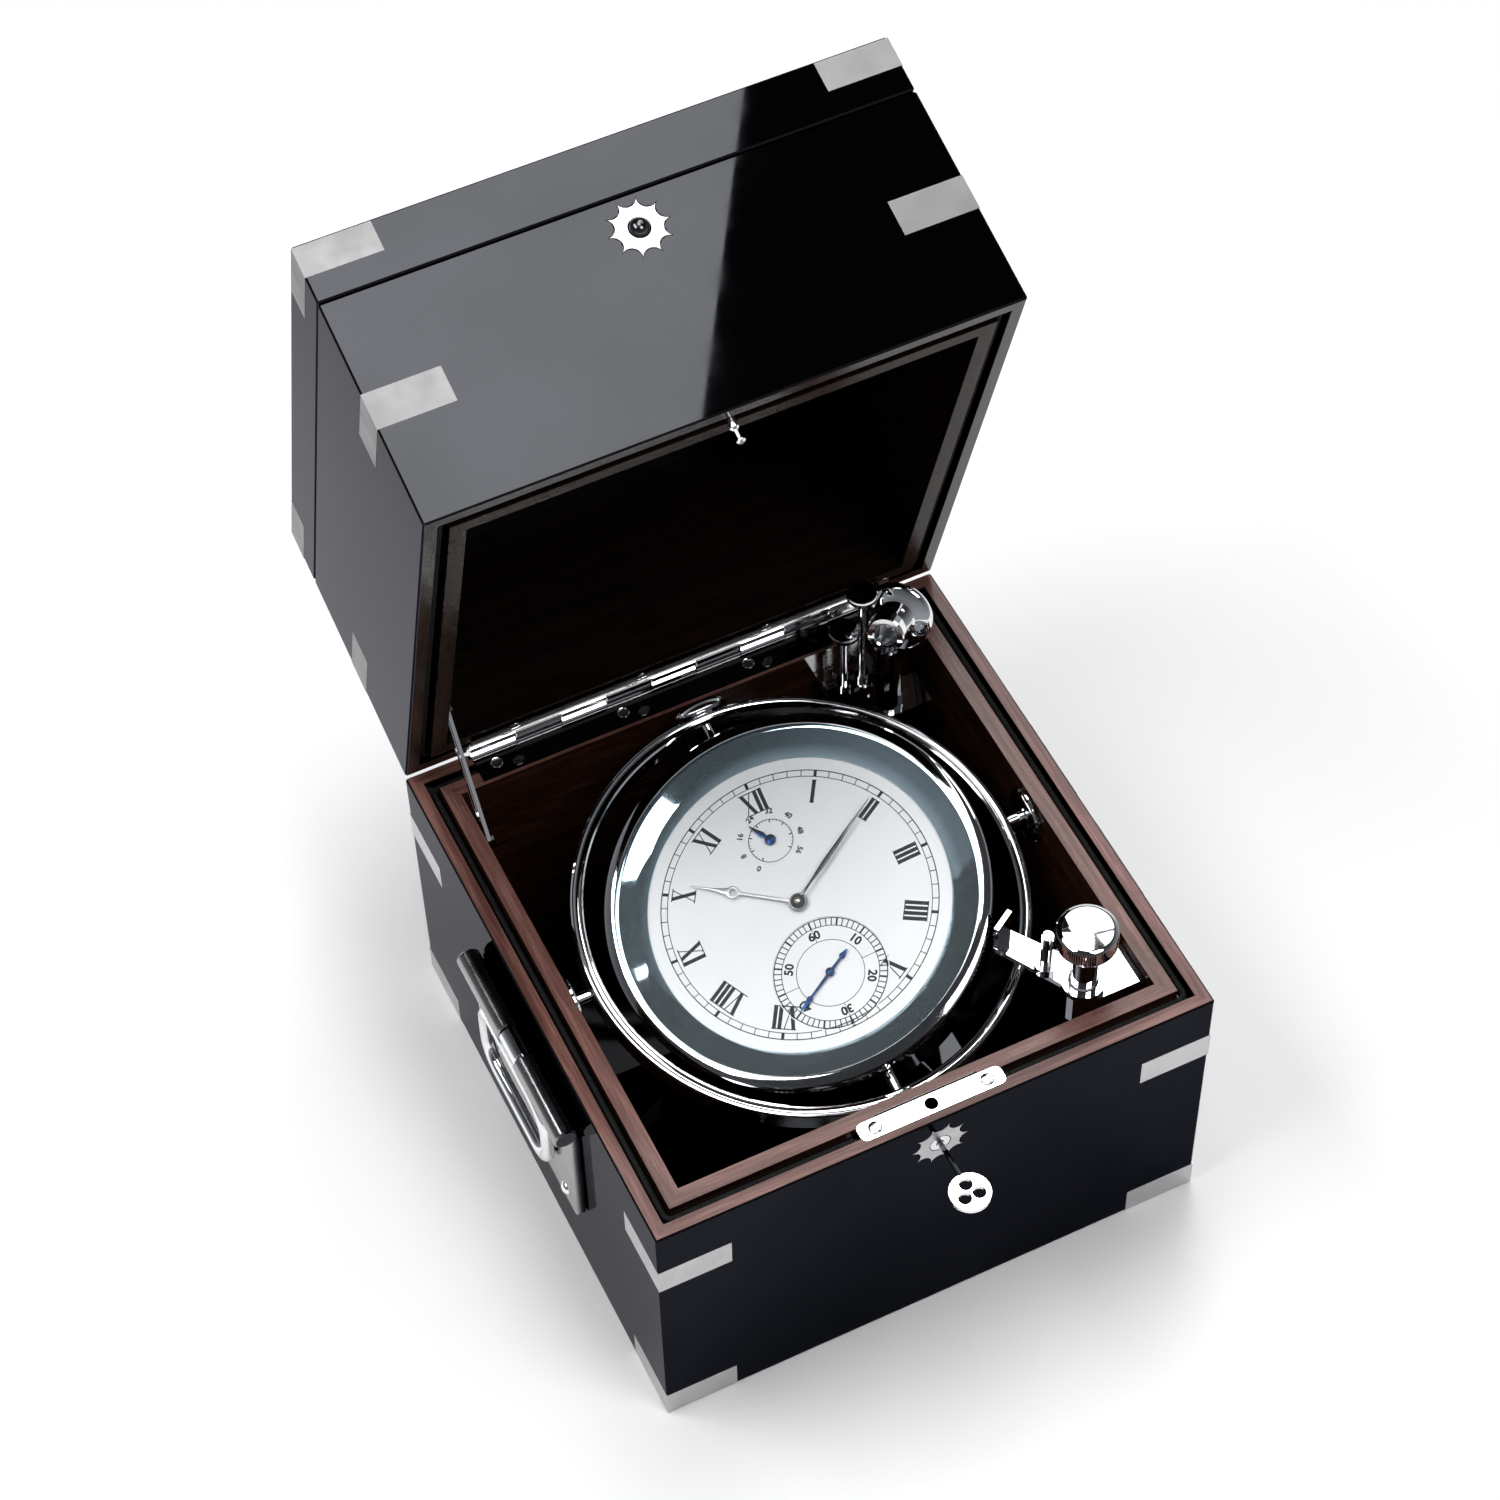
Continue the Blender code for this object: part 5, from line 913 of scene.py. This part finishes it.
def on_circle(radius, angle, centre=(0.0, 0.0)):
    """Place in mm at an angle clockwise from the top."""
    return (centre[0] + radius * math.sin(angle), centre[1] + radius * math.cos(angle))


def tick(inner, outer, angle, width, centre=(0.0, 0.0)):
    side = Vector((math.cos(angle), -math.sin(angle))) * width / 2
    near = Vector(on_circle(inner, angle, centre))
    far = Vector(on_circle(outer, angle, centre))
    return (tuple(near - side), tuple(near + side), tuple(far + side), tuple(far - side))


def ring_line(radius, width, low, high, centre=(0.0, 0.0), sides=128):
    """A thin printed circle, low and high in metres."""
    half = width / 2
    profile = [(radius - half, high / MM), (radius + half, high / MM), (radius + half, low / MM),
               (radius - half, low / MM)]
    return moved(lathe(profile, sides), shift((centre[0] * MM, centre[1] * MM, 0)))


THICK = 1.25
THIN = 0.34
SERIF = 0.34
GLYPH_WIDTH = {"I": 1.75, "V": 4.7, "X": 4.7}


def glyph(letter, left, height):
    """Quads of one Roman letter, its foot at 0."""
    width = GLYPH_WIDTH[letter]
    middle = left + width / 2
    over = 0.35
    quads = []
    if letter == "I":
        quads.append(((middle - THICK / 2, 0), (middle + THICK / 2, 0), (middle + THICK / 2, height),
                      (middle - THICK / 2, height)))
    else:
        foot = middle if letter == "V" else left + width - over - THICK / 2
        head = left + over + THICK / 2
        quads.append(((foot - THICK / 2, 0), (foot + THICK / 2, 0), (head + THICK / 2, height),
                      (head - THICK / 2, height)))
        foot = middle if letter == "V" else left + over + THIN
        head = left + width - over - THIN
        quads.append(((foot - THIN / 2, 0), (foot + THIN / 2, 0), (head + THIN / 2, height),
                      (head - THIN / 2, height)))
    return quads, width


def numeral(text, angle):
    """Roman numeral whose foot faces the middle of the dial."""
    quads = []
    left = 0.0
    for letter in text:
        shapes, width = glyph(letter, left, NUMERAL_HEIGHT / MM)
        quads += shapes
        left += width
    for low in (0, NUMERAL_HEIGHT / MM - SERIF):
        quads.append(((0.12, low), (left - 0.12, low), (left - 0.12, low + SERIF), (0.12, low + SERIF)))
    turn = Matrix.Rotation(-angle, 2)
    placed = []
    foot = NUMERAL_FOOT / MM
    for quad in quads:
        placed.append(tuple(tuple(turn @ Vector((x - left / 2, y + foot))) for x, y in quad))
    return placed


def make_dial():
    top = DIAL_TOP
    radius = DIAL_RADIUS / MM
    disc = lathe([(0, top / MM), (radius, top / MM), (radius, 3.1), (0, 3.1)], 160)
    floor = top / MM - WELL_DEPTH
    well = lathe([(0, 5), (18.75, 5), (18.75, 4.0), (18.45, floor), (0, floor)], 128)
    disc = carve(disc, moved(well, shift(SECONDS)))
    floor = top / MM - WELL_DEPTH / 2
    small = lathe([(0, 5), (8.2, 5), (8.2, 4.0), (8.0, floor), (0, floor)], 96)
    disc = carve(disc, moved(small, shift(RESERVE)))
    add("dial_face", disc, DIAL_WHITE, "instrument", DIAL, ["dial"])

    prints = [ring_line(TRACK_OUTER / MM, 0.34, top, top + INK, sides=192),
              ring_line(TRACK_INNER / MM, 0.26, top, top + INK, sides=192)]
    marks = []
    for minute in range(60):
        width = 0.28 if minute % 5 else 1.0
        marks.append(tick(TRACK_INNER / MM, TRACK_OUTER / MM, minute * 6 * DEG, width))
    names = ["XII", "I", "II", "III", "IIII", "V", None, "VII", "VIII", "IX", "X", "XI"]
    for hour, text in enumerate(names):
        if text:
            marks += numeral(text, hour * 30 * DEG)
    prints.append(bars(marks, top, top + INK))
    add("dial_printing", merged(prints), INK_BLACK, "instrument", DIAL)
    make_seconds_dial(top - WELL_DEPTH * MM)
    make_reserve_dial(top - WELL_DEPTH / 2 * MM)


def make_seconds_dial(low):
    centre = (SECONDS.x / MM, SECONDS.y / MM)
    high = low + INK
    outer, inner, cross = SECONDS_RINGS
    prints = [ring_line(radius, width, low, high, centre)
              for radius, width in ((outer, 0.34), (inner, 0.26), (cross, 0.22))]
    marks = []
    for second in range(60):
        marks.append(tick(inner, outer, second * 6 * DEG, 0.6 if second % 5 == 0 else 0.34, centre))
    for quarter in range(4):
        marks.append(tick(cross, inner, quarter * 90 * DEG, 0.2, centre))
    prints.append(bars(marks, low, high))
    for second in range(10, 70, 10):
        angle = second * 6 * DEG
        prints.append(words(str(second), 3.9, on_circle(13.2, angle, centre), angle, low, high))
    add("seconds_printing", merged(prints), INK_BLACK, "instrument", DIAL)
    rim = [(18.55, 4.06), (18.8, 4.06), (18.8, 3.98), (18.45, 3.72)]
    add("seconds_well_edge", moved(lathe(rim, 128), shift(SECONDS)), DIAL_WHITE, "instrument",
        DIAL)


def make_reserve_dial(low):
    centre = (RESERVE.x / MM, RESERVE.y / MM)
    high = low + INK
    outer = DIAL_TOP + INK
    prints = [ring_line(RESERVE_RING, 0.24, low, high, centre)]
    marks = []
    for hour in range(0, 2 * RESERVE_HALF + 1, 2):
        angle = (hour - RESERVE_HALF) / RESERVE_HALF * RESERVE_SWEEP * DEG
        inner, width = (6.1, 0.4) if hour % 8 == 0 else (6.7, 0.24)
        marks.append(tick(inner, RESERVE_RING, angle, width, centre))
    prints.append(bars(marks, low, high))
    for hour in range(0, 2 * RESERVE_HALF + 1, 8):
        angle = (hour - RESERVE_HALF) / RESERVE_HALF * RESERVE_SWEEP * DEG
        prints.append(words(str(hour), 2.5, on_circle(9.9, angle, centre), angle, DIAL_TOP, outer))
    add("reserve_printing", merged(prints), INK_BLACK, "instrument", DIAL)


# ------------------------------------------------------------------ hands

def pear_hand():
    """Hour hand: slim stem, pierced pear and long point, in mm."""
    pear = arc((0, 21.6), 2.05, -62, 55, 12)
    side = [(0.62, 1.5), (0.5, 9.0), (0.45, 18.6)] + pear + [(0.62, 26.2), (0.34, 28.5), (0.14, 35.4)]
    return [both_sides(side), arc((0, 21.5), 1.15, 0, 360, 24)[:-1]]


def both_sides(side):
    """Closed outline from its right side, going up."""
    return side + [(-x, y) for x, y in reversed(side)]


def make_hands():
    low = HOUR_LOW / MM
    hour = sheet_metal(pear_hand(), low, low + 0.45, 0.12)
    hub = lathe([(1.25, low + 0.75), (2.6, low + 0.75), (3.0, low + 0.4), (3.0, low - 0.2),
                 (1.25, low - 0.2)], 48)
    add("hour_hand_pear", merged([hour, hub]), HAND_BRIGHT, "hours",
        DIAL @ spin(-HOUR_ANGLE, "Z"), ["hour_hand"])
    low = MINUTE_LOW / MM
    side = [(0.5, 1.2), (0.36, 7.0), (0.78, 15.0), (0.62, 24.0), (0.1, 39.9)]
    minute = sheet_metal([both_sides(side)], low, low + 0.4, 0.1)
    hub = lathe([(1.25, low + 0.66), (2.0, low + 0.66), (2.4, low + 0.3), (2.4, low - 0.2),
                 (1.25, low - 0.2)], 48)
    # the minute hand's steel is darkened as a painted dark reflection
    add("minute_hand_leaf", merged([minute, hub]), STEEL_PAINTED_DARK, "minutes",
        DIAL @ spin(-MINUTE_ANGLE, "Z"), ["minute_hand"])
    cap = lathe([(0, low + 1.05), (0.6, low + 0.95), (1.0, low + 0.6), (1.2, low + 0.1), (1.2, low - 0.1),
                 (0, low - 0.1)], 40, sharp=60 * DEG)
    add("centre_cap", cap, BRIGHT, "minutes", DIAL)

    low = SMALL_HAND_LOW / MM
    for name, place, angle, flat, edge, side in (
            ("seconds", SECONDS, SECONDS_ANGLE, 0.7, 1.45,
             [(0.2, -9.0), (1.05, -6.2), (0.34, -5.4), (0.5, 0), (0.34, 9.6), (1.0, 10.4), (0.08, 15.8)]),
            ("reserve", RESERVE, RESERVE_ANGLE, 0.8, 1.8,
             [(0.5, -1.0), (0.62, 2.0), (0.95, 3.4), (0.1, 8.5)])):
        hand = sheet_metal([both_sides(side)], low, low + 0.35, 0.06)
        hub = lathe([(0, low + 0.8), (flat, low + 0.75), (edge, low + 0.45), (edge, low - 0.2),
                     (0, low - 0.2)], 40)
        add(name + "_hand_blued", merged([hand, hub]), BLUED, name,
            DIAL @ shift(place) @ spin(-angle, "Z"), [name + "_hand"])


# ------------------------------------------------------------------ knobs and key

def make_knobs():
    low = ARM_TOP / MM + 0.3
    head = ARM_TOP / MM + 20
    high = head + 8
    knob = [(0, high), (7.9, high), (8.5, high - 0.15), (9.3, high - 0.75), (9.8, high - 1.0),
            (9.8, head + 1.2), (9.3, head + 0.5), (8.4, head), (5.2, head - 0.8), (4.4, head - 2),
            (4.4, low + 0.5), (4.8, low), (3.5, low), (3.5, head - 3), (0, head - 3)]
    add("lock_knob_knurled", lathe(knob, 160, (4, 5, 0.35), sharp=25 * DEG), CHROME, "lock_knob",
        shift((LOCK_PILLAR.x, LOCK_PILLAR.y, 0)), ["gimbal_lock_knob"])
    for name, spot, rise in (("low", THUMB_LOW, 27), ("high", THUMB_HIGH, 41)):
        base = spot.z / MM
        top = base + rise + 3
        screw = [(0, top), (4.2, top), (4.9, top - 0.3), (5.2, top - 0.8), (5.2, top - 2.3),
                 (4.6, top - 3), (1.5, top - 4), (1.3, top - 5), (1.3, base + 2.3), (2.34, base + 2.3),
                 (2.34, base + 0.3), (1.3, base + 0.3), (1.3, base - 3), (0, base - 3)]
        add("thumb_screw_%s_turned" % name, lathe(screw, 96, (3, 4, 0.18), sharp=25 * DEG), CHROME,
            name + "_thumb_screw", shift((spot.x, spot.y, 0)), ["thumb_screw_" + name])
    place = shift(KEY_CENTRE) @ spin(KEY_TURN, "Z") @ spin(90 - KEY_LEAN, "Y")
    key = [(0, 1.0), (2.2, 1.0), (2.2, 6), (3.9, 6), (3.9, 13.6), (4.3, 14), (5.8, 14), (6.2, 13.6),
           (6.2, 3.4), (6.7, 2.7), (8.0, 2.2), (10.6, 1.6), (11.5, 1.0), (11.9, 0.3), (11.9, -0.7),
           (11.5, -1.4), (10.2, -2.1), (6, -2.5), (0, -2.6)]
    add("winding_key_turned", lathe(key, 128, sharp=32 * DEG), CHROME, "winder", place,
        ["winding_key"])


# ------------------------------------------------------------------ stage, camera and light

def make_stage():
    """White table. Away from the object the camera sees it plain white, so the picture's ground is even."""
    material, n, shader, place = new_material("white table", Base_Color=(0.93, 0.93, 0.93, 1),
                                              Roughness=1.0, Specular_IOR_Level=0.0)
    path = n.add("ShaderNodeLightPath").outputs
    seen = n.math("MAXIMUM", n.math("MAXIMUM", path["Is Camera Ray"], path["Is Glossy Ray"]),
                  path["Is Transmission Ray"])
    away = n.add("ShaderNodeVectorMath", operation="DISTANCE")
    n.link(place, away.inputs[0])
    away.inputs[1].default_value = (0.05, 0.05, 0)
    far = n.span(away.outputs["Value"], 0.30, 0.50)
    white = n.add("ShaderNodeEmission")
    white.inputs["Color"].default_value = (1, 1, 1, 1)
    blend = n.add("ShaderNodeMixShader")
    n.link(n.times(seen, far), blend.inputs[0])
    n.link(shader.outputs[0], blend.inputs[1])
    n.link(white.outputs[0], blend.inputs[2])
    n.link(blend.outputs[0], material.node_tree.nodes["Material Output"].inputs["Surface"])
    bm = bmesh.new()
    bmesh.ops.create_grid(bm, x_segments=1, y_segments=1, size=6)
    mesh = bpy.data.meshes.new("table")
    bm.to_mesh(mesh)
    bm.free()
    mesh.materials.append(material)
    table = new_object("table", mesh)
    table.location.z = -0.05 * MM


def make_world():
    """Dim studio with grey walls and a dark ceiling."""
    world = bpy.data.worlds.new("studio")
    world.use_nodes = True
    n = Nodes(world.node_tree)
    background = world.node_tree.nodes["Background"]
    height = n.split(n.add("ShaderNodeTexCoord").outputs["Generated"])[2]
    n.link(n.mix(n.span(height, 0.1, 0.75), (0.30, 0.31, 0.33, 1), (0.035, 0.037, 0.042, 1)),
           background.inputs["Color"])
    background.inputs["Strength"].default_value = 1.0
    bpy.context.scene.world = world


def softbox(name, centre, width, depth, power, aim=None, turn=0.0):
    """Rectangular lamp, facing straight down and turned about Z, unless it has an aim."""
    light = bpy.data.lights.new(name, "AREA")
    light.shape = "RECTANGLE"
    light.size = width
    light.size_y = depth
    light.energy = power
    lamp = new_object(name, light)
    lamp.location = centre
    lamp.rotation_euler.z = turn
    if aim is not None:
        lamp.rotation_euler = (Vector(aim) - Vector(centre)).to_track_quat("-Z", "Y").to_euler()


def make_lights():
    softbox("overhead box", (0.15, 0.39, 1.7), 0.59, 1.0, 10.5, turn=-30 * DEG)
    softbox("left box", (-1.0, 0.30, 1.66), 0.66, 1.3, 24)
    softbox("rear box", (0.79, 1.10, 1.7), 0.8, 0.8, 11)
    softbox("right box", (0.87, 0.42, 1.7), 0.36, 0.4, 2.2)
    softbox("front box", (0.3, -0.75, 1.6), 0.6, 0.6, 10, aim=(0, 0, 0.1))


def make_camera():
    ahead = Vector((math.sin(CAMERA_TURN) * math.cos(CAMERA_DOWN),
                    math.cos(CAMERA_TURN) * math.cos(CAMERA_DOWN),
                    -math.sin(CAMERA_DOWN)))
    level = ahead.cross(Vector((0, 0, 1))).normalized()
    up = level.cross(ahead)
    right = math.cos(CAMERA_ROLL) * level + math.sin(CAMERA_ROLL) * up
    top = -math.sin(CAMERA_ROLL) * level + math.cos(CAMERA_ROLL) * up
    data = bpy.data.cameras.new("camera")
    data.lens = CAMERA_LENS
    data.sensor_width = 36
    data.clip_start = 0.05
    camera = new_object("camera", data)
    matrix = Matrix((right, top, -ahead)).transposed().to_4x4()
    matrix.translation = CAMERA_PLACE
    camera.matrix_world = matrix
    bpy.context.scene.camera = camera


dress_nodes()
make_inlays()
seal("seal_base", BASE_TOP - GROOVE_DEPTH + SEAL_RADIUS, "case", HOME)
seal("seal_middle", MIDDLE_LOW + GROOVE_DEPTH - SEAL_RADIUS, "lid", LID)
make_screws()
make_stars()
make_lid_fittings()
make_handle("left", -1)
make_handle("right", 1)
make_gimbals()
make_bowl()
make_bezel()
make_dial()
make_hands()
make_knobs()
make_stage()
make_world()
make_lights()
make_camera()
bpy.context.scene.view_settings.view_transform = "Standard"
